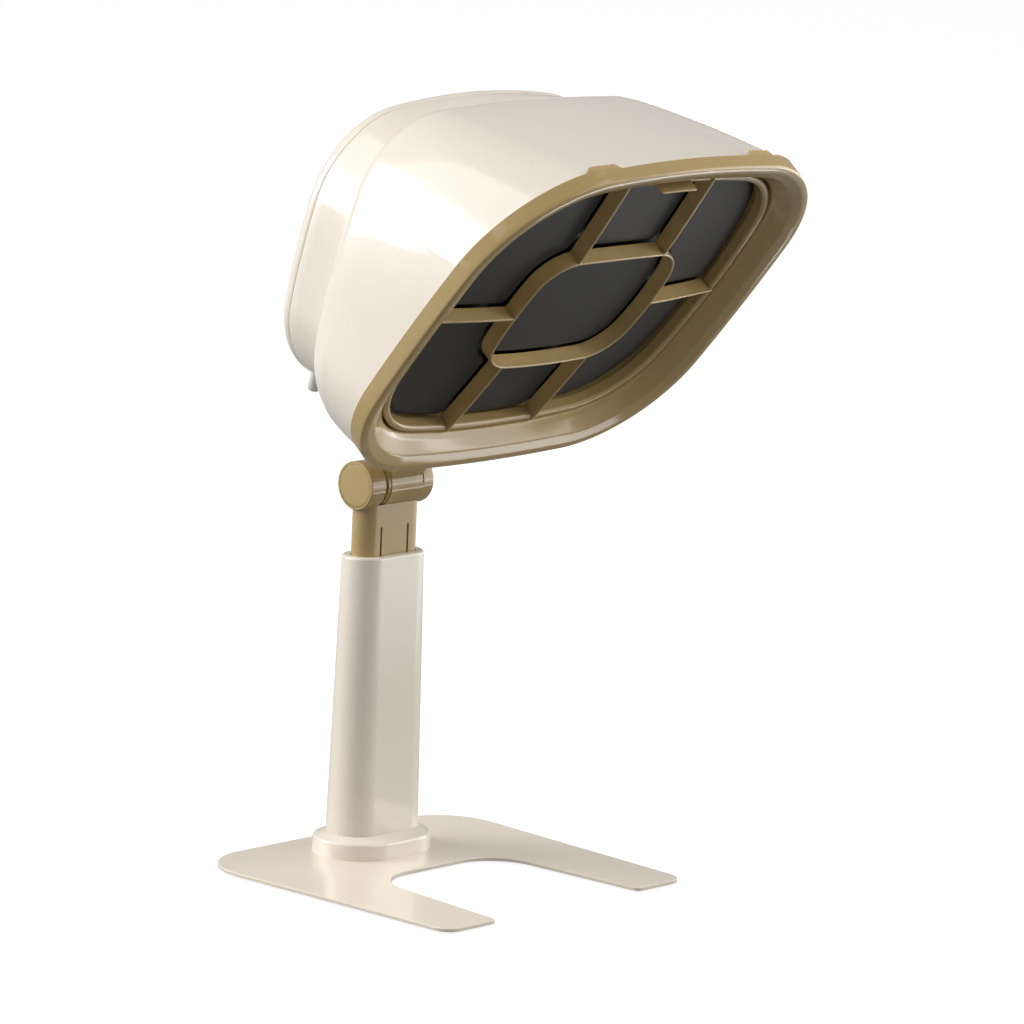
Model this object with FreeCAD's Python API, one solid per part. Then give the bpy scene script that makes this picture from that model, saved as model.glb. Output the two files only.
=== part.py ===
import FreeCAD, Part
import math
import os

# Hood hair dryer on a table stand, in millimetres.
# +Z is up, the hood's mouth looks towards -Y, and the origin lies on the table
# under the axis of the column.

Vec = FreeCAD.Vector

# Steps of each smooth outline along a half side, a corner and a half end
OUTLINE_STEPS = (3, 6, 3)

# Base plate: a flat steel U with two prongs that reach forwards
PLATE_THICK = 2.6
PLATE_EDGE_BEVEL = 0.6
BASE_HALF_WIDTH = 125.0
BASE_SIDE_FLARE = 0.042
BASE_BACK = 49.0
BASE_FRONT = 189.5
BASE_BACK_CORNER = 43.0
PRONG_OUTER_CORNER = 13.0
PRONG_INNER_CORNER = 5.0
NOTCH_HALF_WIDTH = 55.2
NOTCH_FLARE = 0.076
NOTCH_BACK = 61.5
NOTCH_CORNER = 35.5
PAD_THICK = 1.9
PAD_RADIUS = 8.0
PAD_EDGE_GAP = 8.0
CENTRE_PAD_FLAT = 20.0
CENTRE_PAD_RADIUS = 15.0

# Column: a tapered cover round a straight guide tube, with a collar at its foot
COLUMN_TOP = 215.5
COLUMN_WALL = 2.4
COLUMN_SPARE = 1.3
COLUMN_TAPER = 3.2
COLUMN_FLAT_TAPER = 0.8
COLUMN_RIM_THICK = 3.0
COLUMN_RIM_ROUND = 1.8
COLLAR_STEP = 7.8
COLLAR_ROUNDER = 4.0
COLLAR_EDGE = 11.4
COLLAR_CROWN = 3.8
COLLAR_ROUND = 2.5
GUIDE_WALL = 1.5
GUIDE_TOP_GAP = 9.0
FOOT_PLUG_HEIGHT = 22.0
BASE_SCREW_RADIUS = 2.9
BASE_SCREW_HEAD = 5.6
BASE_SCREW_SPACING = 30.0

# Mast: a flat tube that slides in the column and carries the hinge
MAST_FLAT = 17.0
MAST_RADIUS = 10.3
MAST_WALL = 2.0
MAST_BOTTOM = 72.0
MAST_CLEARANCE = 0.9
MAST_RISE = 80.0
MAST_DROP = 20.0
SLOT_INSET = 4.1
SLOT_WIDTH = 1.8
SLOT_ABOVE_COLUMN = 20.2
KEY_HEIGHT = 6.0
SLIDE_GAP = 0.3
SHOE_HEIGHT = 26.0

# Tilt hinge across the top of the mast
HINGE_ABOVE_COLUMN = 49.3
HINGE_RADIUS = 17.0
HINGE_WALL = 3.6
HINGE_OVERHANG = 2.9
HINGE_EDGE = 0.6
KNUCKLE_WIDTH = 13.4
KNUCKLE_GROOVE = 0.9
BARREL_LEFT_WALL = 4.8
BARREL_RIGHT_WALL = 9.8
WINDOW_FRONT_ANGLE = 181.5
WINDOW_BACK_ANGLE = 17.0
HUB_GAP = 0.4
SHAFT_RADIUS = 5.0
SHAFT_GAP = 0.05
WASHER_THICK = 0.8
WASHER_GAP = 0.05
CAP_RIM = 2.4
CAP_THICK = 2.2
CAP_GAP = 0.4

# Arm from the hinge to the underside of the hood
ARM_STEP = 1.5
ARM_LEAN_FORWARD = 2.8
ARM_NECK = 44.0
ARM_FLARE = 27.0
ARM_OVERRUN = 17.4
ARM_SHELL_GAP = 0.6
ARM_FOOT_HALF_WIDTH = 34.0
ARM_FOOT_FRONT = 3.0
ARM_FOOT_BACK = 29.0
ARM_FOOT_THICK = 5.0
ARM_SCREW_OFFSET = 27.0
ARM_SCREW_BACK = 16.0
ARM_SCREW_RADIUS = 2.5
ARM_SCREW_HEAD = 4.6

# Hood mouth: its centre is set out from the hinge, and it leans forwards
MOUTH_AHEAD = 182.5
MOUTH_ABOVE = 138.6
MOUTH_TILT = 40.0
MOUTH_HALF_WIDTH = 158.3
MOUTH_HALF_HEIGHT = 145.9
MOUTH_SIDE_BOW = 1100.0
MOUTH_TOP_BOW = 665.0
MOUTH_BOTTOM_BOW = 1080.0
MOUTH_TOP_CORNER = 87.0
MOUTH_BOTTOM_CORNER = 79.0

# Front ring round the mouth
RING_DEPTH = 13.5
RING_LIP = 10.0
RING_WALL = 2.5
RING_ROUND = 2.2
RING_TAB_LEFT = 80.0
RING_TAB_RIGHT = 71.0
RING_TAB_WIDTH = 27.0
RING_TAB_REACH = 4.4
RING_TAB_SLANT = 3.5
RING_TAB_THICK = 1.6

# Main shell: from the ring back to a more upright rear plane, swelled between them
SPIGOT_WALL = 2.2
SPIGOT_STEP = 0.4
SHELL_WALL = 2.5
SHELL_SWELL = 1.2
SHELL_DROP = 0.8
REAR_TILT = 16.0
REAR_AHEAD = 76.4
REAR_ABOVE = 168.3
SHELL_REAR_HALF_WIDTH = 147.0
SHELL_REAR_HALF_HEIGHT = 122.9
SHELL_REAR_DROP = 2.1
SHELL_REAR_SIDE_BOW = 552.0
SHELL_REAR_TOP_BOW = 1500.0
SHELL_REAR_BOTTOM_BOW = 462.0
SHELL_REAR_TOP_CORNER = 69.0
SHELL_REAR_BOTTOM_CORNER = 86.0
SHELL_REAR_ROUND = 20.0

# Rear housing and its cover
HOUSING_DEPTH = 32.0
HOUSING_SIDE_STEP = 11.5
HOUSING_END_STEP = 16.9
HOUSING_SIDE_BOW = 500.0
HOUSING_TOP_BOW = 600.0
HOUSING_CORNER = 68.0
HOUSING_WALL = 2.5
HOUSING_FLANGE = 8.0
HOUSING_FLANGE_THICK = 3.0
COVER_DEPTH = 11.0
COVER_ROUND = 9.5
COVER_SEAM = 0.6
COVER_BOSS_INSET = 7.8
COVER_BOSS_RADIUS = 6.0
COVER_BOSS_FRONT = 12.0
INTAKE_ROWS = 11
INTAKE_PITCH = 10.5
INTAKE_SLOT = 4.0
INTAKE_REACH = 66.0

# Fan, duct and heater, on the axis of the rear housing
DUCT_RADIUS = 72.0
DUCT_WALL = 2.0
DUCT_BACK = 33.0
DUCT_FRONT = 34.0
DUCT_PLATE_THICK = 2.0
MOTOR_RADIUS = 18.0
MOTOR_LENGTH = 24.0
MOTOR_SHAFT_RADIUS = 2.0
BRACKET_BACK = 12.0
BRACKET_THICK = 3.0
BRACKET_ARM_WIDTH = 9.0
FAN_BLADES = 7
FAN_TIP_GAP = 3.5
FAN_HUB_RADIUS = 14.0
FAN_BACK = 31.0
FAN_DEPTH = 16.0
MICA_THICK = 1.6
MICA_BACK = 18.0
MICA_DEPTH = 14.0
COIL_RADIUS = 46.0
COIL_WIDTH = 8.0
COIL_THICK = 0.8
CUTOUT_RADIUS = 5.0
CUTOUT_OFFSET = 30.0
FILTER_MARGIN = 6.0
FILTER_THICK = 2.2

# Controls in the right-hand side of the rear housing
PANEL_RECESS = 2.9
PANEL_THICK = 3.3
PANEL_HALF_LENGTH = 38.0
PANEL_MARGIN = 4.5
PANEL_FRONT = 6.5
PANEL_PAD_DEPTH = 6.0
PANEL_FIT = 0.2
PANEL_CORNER = 2.5
KNOB_OFFSET = 17.0
KNOB_RADIUS = 9.5
KNOB_HEIGHT = 11.0
KNOB_SHAFT_RADIUS = 3.0
ROCKER_OFFSET = 18.0
ROCKER_HALF_LENGTH = 9.6
ROCKER_HALF_WIDTH = 5.5
ROCKER_ANGLE = 6.0
ROCKER_PIVOT_DEPTH = 1.3
ROCKER_PIN_RADIUS = 1.0
BOARD_THICK = 1.6
SWITCH_HEIGHT = 7.0

# Gland for the mains lead, under the rear cover's left-hand corner
GLAND_INSET = 50.5
GLAND_BEHIND = 5.0
GLAND_RADIUS = 4.3
GLAND_ROUND = 2.2
GLAND_INSIDE = 12.0
GLAND_SHOWN = 3.6

# Grille insert in the mouth
BEZEL_SIDE = 22.9
BEZEL_END = 22.5
GRILLE_SIDE_BOW = 473.0
GRILLE_TOP_BOW = 588.0
GRILLE_CORNER = 60.0
GRILLE_FRAME = 3.0
GRILLE_SET_BACK = 5.4
GRILLE_FRAME_SET_BACK = 13.0
GRILLE_FRAME_DEPTH = 15.1
GRILLE_CROWN = 1360.0
GRILLE_DEPTH = 12.5
GRILLE_GAP = 0.8
RIB_THICK = 2.0
SPOKE_OFFSET = 41.3
LOOP_HALF_WIDTH = 67.0
LOOP_HALF_HEIGHT = 53.2
LOOP_SIDE_BOW = 193.0
LOOP_TOP_BOW = 900.0
LOOP_CORNER = 29.0
FINGER_TAB_HALF_WIDTH = 18.0
FINGER_TAB_SLANT = 2.0
FINGER_TAB_REACH = 7.6
FINGER_TAB_THICK = 1.9

# Emitter plates behind the grille and the tray that carries them
PLATE_GAP = 1.4
EMITTER_SET_BACK = 16.7
EMITTER_THICK = 2.5
EMITTER_CORNER = 3.0
STUD_HALF_WIDTH = 4.0
TRAY_GAP = 0.3
TRAY_THICK = 2.0
TRAY_SLOT = 4.0
TRAY_SLOT_REACH = 14.0
SKIRT_WALL = 1.5

# Sizes that follow from those above
GUIDE_TOP = COLUMN_TOP - GUIDE_TOP_GAP
GUIDE_INNER = MAST_RADIUS + MAST_CLEARANCE
GUIDE_OUTER = GUIDE_INNER + GUIDE_WALL
COLUMN_TOP_RADIUS = GUIDE_OUTER + COLUMN_SPARE + COLUMN_WALL
COLUMN_FOOT_RADIUS = COLUMN_TOP_RADIUS + COLUMN_TAPER
COLUMN_TOP_FLAT = MAST_FLAT
COLUMN_FOOT_FLAT = MAST_FLAT + COLUMN_FLAT_TAPER
COLLAR_FLAT = COLUMN_FOOT_FLAT - COLLAR_ROUNDER
COLLAR_RADIUS = COLUMN_FOOT_RADIUS + COLLAR_ROUNDER + COLLAR_STEP
SLOT_OFFSET = MAST_FLAT - SLOT_INSET
SLOT_TOP = COLUMN_TOP + SLOT_ABOVE_COLUMN
HINGE_HEIGHT = COLUMN_TOP + HINGE_ABOVE_COLUMN
HINGE_HALF_LENGTH = MAST_FLAT + MAST_RADIUS + HINGE_OVERHANG
BARREL_BORE = HINGE_RADIUS - HINGE_WALL
HUB_RADIUS = BARREL_BORE - HUB_GAP
CAP_RADIUS = HINGE_RADIUS - CAP_RIM
ARM_THICK = 2 * (HUB_RADIUS - ARM_STEP)
HOUSING_HALF_WIDTH = SHELL_REAR_HALF_WIDTH - HOUSING_SIDE_STEP
HOUSING_HALF_HEIGHT = SHELL_REAR_HALF_HEIGHT - HOUSING_END_STEP
FAN_RADIUS = DUCT_RADIUS - FAN_TIP_GAP
FILTER_HALF_WIDTH = INTAKE_REACH + FILTER_MARGIN
FILTER_HALF_HEIGHT = (INTAKE_ROWS * INTAKE_PITCH) / 2 + FILTER_MARGIN / 2
PANEL_SEAT = HOUSING_HALF_WIDTH - PANEL_RECESS
PANEL_PAD = HOUSING_HALF_WIDTH - PANEL_PAD_DEPTH
PANEL_BACK = HOUSING_DEPTH - PANEL_MARGIN
ROCKER_PIVOT = HOUSING_HALF_WIDTH - ROCKER_PIVOT_DEPTH
GLAND_ACROSS = HOUSING_HALF_WIDTH - GLAND_INSET
GLAND_BACK = HOUSING_DEPTH + GLAND_BEHIND
GLAND_TOP = HOUSING_HALF_HEIGHT - GLAND_INSIDE
GLAND_BOTTOM = HOUSING_HALF_HEIGHT + GLAND_SHOWN
GRILLE_HALF_WIDTH = MOUTH_HALF_WIDTH - BEZEL_SIDE
GRILLE_HALF_HEIGHT = MOUTH_HALF_HEIGHT - BEZEL_END


def corner_centre(half_w, half_h, side_bow, end_bow, corner):
    """Centres of the side arc, the end arc and the corner arc between them."""
    side_c = Vec(half_w - side_bow, 0, 0)
    end_c = Vec(0, half_h - end_bow, 0)
    r1 = side_bow - corner
    r2 = end_bow - corner
    gap = end_c.sub(side_c)
    dist = gap.Length
    along = (dist * dist + r1 * r1 - r2 * r2) / (2 * dist)
    across = math.sqrt(r1 * r1 - along * along)
    e = gap.multiply(1 / dist)
    n = Vec(-e.y, e.x, 0)
    both = [side_c + e * along + n * (across * s) for s in (1, -1)]
    return side_c, end_c, max(both, key=lambda p: p.x + p.y)


def quarter_arcs(half_w, half_h, side_bow, end_bow, corner):
    """Side, corner and end arcs of the upper right quarter, each as three points."""
    side_c, end_c, corner_c = corner_centre(half_w, half_h, side_bow, end_bow, corner)
    d1 = corner_c.sub(side_c).normalize()
    d2 = corner_c.sub(end_c).normalize()
    a = side_c + d1 * side_bow
    b = end_c + d2 * end_bow
    m = corner_c + d1.add(d2).normalize() * corner

    def middle(p, c, r, target):
        return c + p.sub(c).add(target.sub(c)).normalize() * r

    right = Vec(half_w, 0, 0)
    top = Vec(0, half_h, 0)
    return [(right, middle(a, side_c, side_bow, right), a), (a, m, b),
            (b, middle(b, end_c, end_bow, top), top)]


def bowed_outline(half_w, half_h, side_bow, top_bow, bottom_bow, top_corner, bottom_corner, z=0.0):
    """Closed wire of tangent arcs, starting at the middle of the right side."""
    upper = quarter_arcs(half_w, half_h, side_bow, top_bow, top_corner)
    lower = quarter_arcs(half_w, half_h, side_bow, bottom_bow, bottom_corner)

    def mirrored(arc, sx, sy):
        pts = [Vec(p.x * sx, p.y * sy, z) for p in arc]
        return pts if sx * sy > 0 else pts[::-1]

    arcs = [mirrored(arc, 1, 1) for arc in upper]
    arcs += [mirrored(arc, -1, 1) for arc in upper[::-1]]
    arcs += [mirrored(arc, -1, -1) for arc in lower]
    arcs += [mirrored(arc, 1, -1) for arc in lower[::-1]]
    return Part.Wire([Part.Arc(*arc).toShape() for arc in arcs])


def outline_points(outline, z=0.0):
    """Points round an outline, with the same number on each of its arcs at any size."""
    pts = []
    for i, edge in enumerate(bowed_outline(*outline, z=z).Edges):
        steps = OUTLINE_STEPS[i % 3] if i // 3 % 2 == 0 else OUTLINE_STEPS[2 - i % 3]
        first, last = edge.ParameterRange
        pts += [edge.valueAt(first + (last - first) * k / steps) for k in range(steps)]
    return pts


def smooth_curve(pts, spacing=None):
    """One smooth closed curve through points, spaced as another set of points is."""
    marks = [0.0]
    ring = spacing or pts
    for p, q in zip(ring, ring[1:] + ring[:1]):
        marks.append(marks[-1] + p.distanceToPoint(q))
    curve = Part.BSplineCurve()
    curve.interpolate(Points=pts, Parameters=marks, PeriodicFlag=True)
    return Part.Wire([curve.toShape()])


def smooth_outline(outline, z=0.0):
    """The same outline as one smooth closed curve, for lofts and fillets."""
    return smooth_curve(outline_points(outline, z))


def inset(outline, amount):
    """Outline moved inwards by an amount, as half sizes, bows and corners."""
    return tuple(value - amount for value in outline)


def grown(outline, amount):
    return inset(outline, -amount)


def prism(outline, z0, z1):
    return Part.Face(bowed_outline(*outline, z=z0)).extrude(Vec(0, 0, z1 - z0))


def smooth_prism(outline, z0, z1):
    return Part.Face(smooth_outline(outline, z0)).extrude(Vec(0, 0, z1 - z0))


def flared(outline_a, z0, outline_b, z1):
    """Straight walls from one outline up to another, each made of the same arcs."""
    wires = [bowed_outline(*outline_a, z=z0), bowed_outline(*outline_b, z=z1)]
    return Part.makeLoft(wires, True, True)


def stadium(flat, radius, z=0.0):
    """Closed wire of two straight sides along X and two half circles."""
    right = Part.Arc(Vec(flat, -radius, z), Vec(flat + radius, 0, z), Vec(flat, radius, z))
    left = Part.Arc(Vec(-flat, radius, z), Vec(-flat - radius, 0, z), Vec(-flat, -radius, z))
    back = Part.LineSegment(Vec(flat, radius, z), Vec(-flat, radius, z))
    front = Part.LineSegment(Vec(-flat, -radius, z), Vec(flat, -radius, z))
    return Part.Wire([right.toShape(), back.toShape(), left.toShape(), front.toShape()])


def stadium_prism(flat, radius, z0, z1):
    return Part.Face(stadium(flat, radius, z0)).extrude(Vec(0, 0, z1 - z0))


def box(x0, x1, y0, y1, z0, z1):
    return Part.makeBox(x1 - x0, y1 - y0, z1 - z0, Vec(x0, y0, z0))


def cylinder_x(radius, x0, x1, y=0.0, z=0.0):
    return Part.makeCylinder(radius, x1 - x0, Vec(x0, y, z), Vec(1, 0, 0))


def cylinder_z(radius, z0, z1, x=0.0, y=0.0):
    return Part.makeCylinder(radius, z1 - z0, Vec(x, y, z0), Vec(0, 0, 1))


def solids_of(shape):
    return shape if len(shape.Solids) > 1 else shape.Solids[0]


def frame(y, z, lean):
    """Frame whose local Y leans forwards from the vertical and whose Z looks forwards."""
    return FreeCAD.Placement(Vec(0, y, z), FreeCAD.Rotation(Vec(1, 0, 0), 90 + lean))


PLATE_BOTTOM = PAD_THICK
PLATE_TOP = PLATE_BOTTOM + PLATE_THICK
COLLAR_TOP = PLATE_TOP + COLLAR_EDGE + COLLAR_CROWN
MOUTH = frame(-MOUTH_AHEAD, HINGE_HEIGHT + MOUTH_ABOVE, MOUTH_TILT)
REAR = frame(-REAR_AHEAD, HINGE_HEIGHT + REAR_ABOVE, REAR_TILT)
MOUTH_OUTLINE = (MOUTH_HALF_WIDTH, MOUTH_HALF_HEIGHT, MOUTH_SIDE_BOW, MOUTH_TOP_BOW,
                 MOUTH_BOTTOM_BOW, MOUTH_TOP_CORNER, MOUTH_BOTTOM_CORNER)
SHELL_REAR_OUTLINE = (SHELL_REAR_HALF_WIDTH, SHELL_REAR_HALF_HEIGHT, SHELL_REAR_SIDE_BOW,
                      SHELL_REAR_TOP_BOW, SHELL_REAR_BOTTOM_BOW, SHELL_REAR_TOP_CORNER,
                      SHELL_REAR_BOTTOM_CORNER)
HOUSING_OUTLINE = (HOUSING_HALF_WIDTH, HOUSING_HALF_HEIGHT, HOUSING_SIDE_BOW,
                   HOUSING_TOP_BOW, HOUSING_TOP_BOW, HOUSING_CORNER, HOUSING_CORNER)
GRILLE_OUTLINE = (GRILLE_HALF_WIDTH, GRILLE_HALF_HEIGHT, GRILLE_SIDE_BOW,
                  GRILLE_TOP_BOW, GRILLE_TOP_BOW, GRILLE_CORNER, GRILLE_CORNER)
LOOP_OUTLINE = (LOOP_HALF_WIDTH, LOOP_HALF_HEIGHT, LOOP_SIDE_BOW, LOOP_TOP_BOW,
                LOOP_TOP_BOW, LOOP_CORNER, LOOP_CORNER)
PLACED = {}


def keep(name, shape, place=None):
    """Store a finished piece in the part's frame."""
    shape = shape.copy()
    if place is not None:
        shape.Placement = place.multiply(shape.Placement)
    PLACED[name] = shape
    return shape


def in_frame(shape, place):
    shape = shape.copy()
    shape.Placement = place.multiply(shape.Placement)
    return shape


# Stand


def base_plate():
    def outer(y):
        return BASE_HALF_WIDTH + BASE_SIDE_FLARE * y

    def inner(y):
        return NOTCH_HALF_WIDTH - NOTCH_FLARE * y

    half = [(outer(BASE_BACK), BASE_BACK, BASE_BACK_CORNER),
            (outer(-BASE_FRONT), -BASE_FRONT, PRONG_OUTER_CORNER),
            (inner(-BASE_FRONT), -BASE_FRONT, PRONG_INNER_CORNER),
            (inner(-NOTCH_BACK), -NOTCH_BACK, NOTCH_CORNER)]
    corners = half + [(-x, y, r) for x, y, r in half[::-1]]
    pts = [Vec(x, y, PLATE_BOTTOM) for x, y, r in corners]
    plate = Part.Face(Part.makePolygon(pts + pts[:1])).extrude(Vec(0, 0, PLATE_THICK))
    for x, y, r in corners:
        edges = [e for e in plate.Edges
                 if e.BoundBox.ZLength > PLATE_THICK / 2
                 and abs(e.CenterOfMass.x - x) < 0.1 and abs(e.CenterOfMass.y - y) < 0.1]
        plate = plate.makeFillet(r, edges)
    rim = [e for e in plate.Edges if e.BoundBox.ZMin > PLATE_TOP - 0.01]
    plate = plate.makeChamfer(PLATE_EDGE_BEVEL, rim)
    return plate.cut(base_screw_shapes(0.2))


def base_screw_shapes(gap=0.0):
    shapes = []
    for x in (-BASE_SCREW_SPACING / 2, BASE_SCREW_SPACING / 2):
        head = Part.makeCone(BASE_SCREW_HEAD + gap, BASE_SCREW_RADIUS + gap, PLATE_THICK - 0.4,
                             Vec(x, 0, PLATE_BOTTOM), Vec(0, 0, 1))
        shank = cylinder_z(BASE_SCREW_RADIUS + gap, PLATE_BOTTOM, PLATE_TOP + 14 + gap, x)
        shapes.append(head.fuse(shank).removeSplitter())
    return Part.makeCompound(shapes)


def foot_pads():
    y_back = BASE_BACK - BASE_BACK_CORNER / 2 - PAD_RADIUS / 2
    x_back = BASE_HALF_WIDTH - BASE_BACK_CORNER / 2 - PAD_RADIUS / 2
    y_front = -BASE_FRONT + PAD_RADIUS + PAD_EDGE_GAP
    x_front = (BASE_HALF_WIDTH - BASE_SIDE_FLARE * BASE_FRONT
               + NOTCH_HALF_WIDTH + NOTCH_FLARE * BASE_FRONT) / 2
    pads = [cylinder_z(PAD_RADIUS, 0, PAD_THICK, sx * x, y)
            for x, y in ((x_back, y_back), (x_front, y_front)) for sx in (-1, 1)]
    return Part.makeCompound(pads)


def centre_pad():
    return stadium_prism(CENTRE_PAD_FLAT, CENTRE_PAD_RADIUS, 0, PAD_THICK)


def column_solid(shrink, z0, z1):
    """Tapered stadium of the column, drawn in from its outer skin."""
    def section(z):
        t = (z - COLLAR_TOP) / (COLUMN_TOP - COLLAR_TOP)
        flat = COLUMN_FOOT_FLAT + (COLUMN_TOP_FLAT - COLUMN_FOOT_FLAT) * t
        radius = COLUMN_FOOT_RADIUS + (COLUMN_TOP_RADIUS - COLUMN_FOOT_RADIUS) * t
        return stadium(flat, radius - shrink, z)
    return Part.makeLoft([section(z0), section(z1)], True, True)


def column_sleeve():
    outer = column_solid(0, PLATE_TOP, COLUMN_TOP)
    rim = [e for e in outer.Edges if e.BoundBox.ZMin > COLUMN_TOP - 0.01]
    outer = outer.makeFillet(COLUMN_RIM_ROUND, rim)
    inner = column_solid(COLUMN_WALL, PLATE_TOP - 1, COLUMN_TOP - COLUMN_RIM_THICK)
    mouth = stadium_prism(MAST_FLAT, MAST_RADIUS + 2 * SLIDE_GAP, PLATE_TOP, COLUMN_TOP + 1)
    return outer.cut(inner).cut(mouth)


def base_collar():
    sections = [stadium(COLLAR_FLAT, COLLAR_RADIUS, PLATE_TOP),
                stadium(COLLAR_FLAT, COLLAR_RADIUS, PLATE_TOP + COLLAR_EDGE)]
    wall = Part.makeLoft(sections, True, True)
    crown = Part.makeLoft([stadium(COLLAR_FLAT, COLLAR_RADIUS, PLATE_TOP + COLLAR_EDGE),
                           stadium(COLUMN_FOOT_FLAT, COLUMN_FOOT_RADIUS, COLLAR_TOP)], True, True)
    collar = wall.fuse(crown).removeSplitter()
    edge_z = PLATE_TOP + COLLAR_EDGE
    rim = [e for e in collar.Edges
           if abs(e.BoundBox.ZMin - edge_z) < 0.01 and abs(e.BoundBox.ZMax - edge_z) < 0.01]
    collar = collar.makeFillet(COLLAR_ROUND, rim)
    return collar.cut(column_solid(-0.1, PLATE_TOP - 1, COLLAR_TOP + 1))


def guide_tube():
    outer = stadium_prism(MAST_FLAT, GUIDE_OUTER, PLATE_TOP, GUIDE_TOP)
    return outer.cut(stadium_prism(MAST_FLAT, GUIDE_INNER, PLATE_TOP - 1, GUIDE_TOP + 1))


def column_foot():
    plug = stadium_prism(MAST_FLAT, GUIDE_INNER - 0.1, PLATE_TOP, PLATE_TOP + FOOT_PLUG_HEIGHT)
    return plug.cut(base_screw_shapes(0.05))


def guide_bush():
    """Bush at the column's mouth, with two keys that run in the mast's slots."""
    top = COLUMN_TOP - COLUMN_RIM_THICK
    bottom = GUIDE_TOP - 14
    skirt = stadium_prism(MAST_FLAT, GUIDE_INNER - 0.1, bottom, GUIDE_TOP + 0.1)
    skirt = skirt.fuse(column_solid(COLUMN_WALL + 0.15, GUIDE_TOP, top)).removeSplitter()
    bore = stadium_prism(MAST_FLAT, MAST_RADIUS + SLIDE_GAP, bottom - 1, top + 1)
    skirt = skirt.cut(bore)
    for x in (-SLOT_OFFSET, SLOT_OFFSET):
        half = SLOT_WIDTH / 2 - SLIDE_GAP
        front = -MAST_RADIUS - SLIDE_GAP - 0.1
        key = box(x - half, x + half, front, -MAST_RADIUS + MAST_WALL - 0.6, top - KEY_HEIGHT, top)
        skirt = skirt.fuse(key)
    return skirt.removeSplitter()


# Mast and hinge


BARREL_LEFT = -HINGE_HALF_LENGTH + KNUCKLE_WIDTH + KNUCKLE_GROOVE
HUB_LEFT = BARREL_LEFT + BARREL_LEFT_WALL
HUB_RIGHT = HINGE_HALF_LENGTH - BARREL_RIGHT_WALL
MAST_CAP = HINGE_HEIGHT - HINGE_RADIUS - 8


def at_hinge(shape):
    shape = shape.copy()
    shape.translate(Vec(0, 0, HINGE_HEIGHT))
    return shape


def mast_tube():
    knuckle_right = -HINGE_HALF_LENGTH + KNUCKLE_WIDTH
    body = stadium_prism(MAST_FLAT, MAST_RADIUS, MAST_BOTTOM, HINGE_HEIGHT)
    body = body.cut(at_hinge(cylinder_x(HINGE_RADIUS + 0.1, knuckle_right, 60)))
    body = body.cut(box(knuckle_right, 60, -30, 30, HINGE_HEIGHT - 2, HINGE_HEIGHT + 30))
    knuckle = at_hinge(cylinder_x(HINGE_RADIUS, -HINGE_HALF_LENGTH, knuckle_right))
    knuckle = knuckle.makeChamfer(HINGE_EDGE, [e for e in knuckle.Edges
                                               if e.BoundBox.XMax < -HINGE_HALF_LENGTH + 0.1])
    body = body.fuse(knuckle)
    body = body.cut(stadium_prism(MAST_FLAT, MAST_RADIUS - MAST_WALL, MAST_BOTTOM - 1, MAST_CAP))
    slot_bottom = GUIDE_TOP - MAST_RISE - KEY_HEIGHT
    for x in (-SLOT_OFFSET, SLOT_OFFSET):
        slot = box(x - SLOT_WIDTH / 2, x + SLOT_WIDTH / 2, -MAST_RADIUS - 1,
                   -MAST_RADIUS + MAST_WALL + 1, slot_bottom, SLOT_TOP)
        body = body.cut(slot)
    left = -HINGE_HALF_LENGTH
    body = body.cut(at_hinge(cylinder_x(CAP_RADIUS + CAP_GAP, left - 1, left + CAP_THICK)))
    return body.cut(at_hinge(cylinder_x(SHAFT_RADIUS + SHAFT_GAP, left, knuckle_right + 1)))


def hinge_barrel():
    """Barrel with a window in its upper side, through which the arm passes."""
    body = cylinder_x(HINGE_RADIUS, BARREL_LEFT, HINGE_HALF_LENGTH)
    body = body.makeChamfer(HINGE_EDGE, [e for e in body.Edges if e.BoundBox.XLength < 0.01])
    body = body.cut(cylinder_x(BARREL_BORE, HUB_LEFT, HUB_RIGHT))
    r = HINGE_RADIUS + 5
    window_pts = [Vec(HUB_LEFT, 0, 0)]
    steps = 4
    for i in range(steps + 1):
        a = math.radians(WINDOW_BACK_ANGLE
                         + (WINDOW_FRONT_ANGLE - WINDOW_BACK_ANGLE) * i / steps)
        window_pts.append(Vec(HUB_LEFT, r * 1.2 * math.cos(a), r * 1.2 * math.sin(a)))
    window = Part.Face(Part.makePolygon(window_pts + window_pts[:1]))
    body = body.cut(window.extrude(Vec(HUB_RIGHT - HUB_LEFT, 0, 0)))
    right = HINGE_HALF_LENGTH
    body = body.cut(cylinder_x(CAP_RADIUS + CAP_GAP, right - CAP_THICK, right + 1))
    body = body.cut(cylinder_x(SHAFT_RADIUS + SHAFT_GAP, BARREL_LEFT - 1, right))
    return at_hinge(body)


def hinge_cap(side):
    """Disc that closes one end of the hinge and leaves a fine ring round its edge."""
    outer = HINGE_HALF_LENGTH
    x0, x1 = (outer - CAP_THICK, outer) if side > 0 else (-outer, -outer + CAP_THICK)
    return at_hinge(cylinder_x(CAP_RADIUS, x0, x1))


def tilt_shaft():
    half = HINGE_HALF_LENGTH - CAP_THICK
    return at_hinge(cylinder_x(SHAFT_RADIUS, -half, half))


def friction_washers():
    washers = []
    for x in (HUB_LEFT, HUB_RIGHT - WASHER_THICK):
        disc = cylinder_x(HUB_RADIUS - 1, x, x + WASHER_THICK)
        hole = cylinder_x(SHAFT_RADIUS + 0.1, x - 1, x + WASHER_THICK + 1)
        washers.append(at_hinge(disc.cut(hole)))
    return Part.makeCompound(washers)


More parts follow.
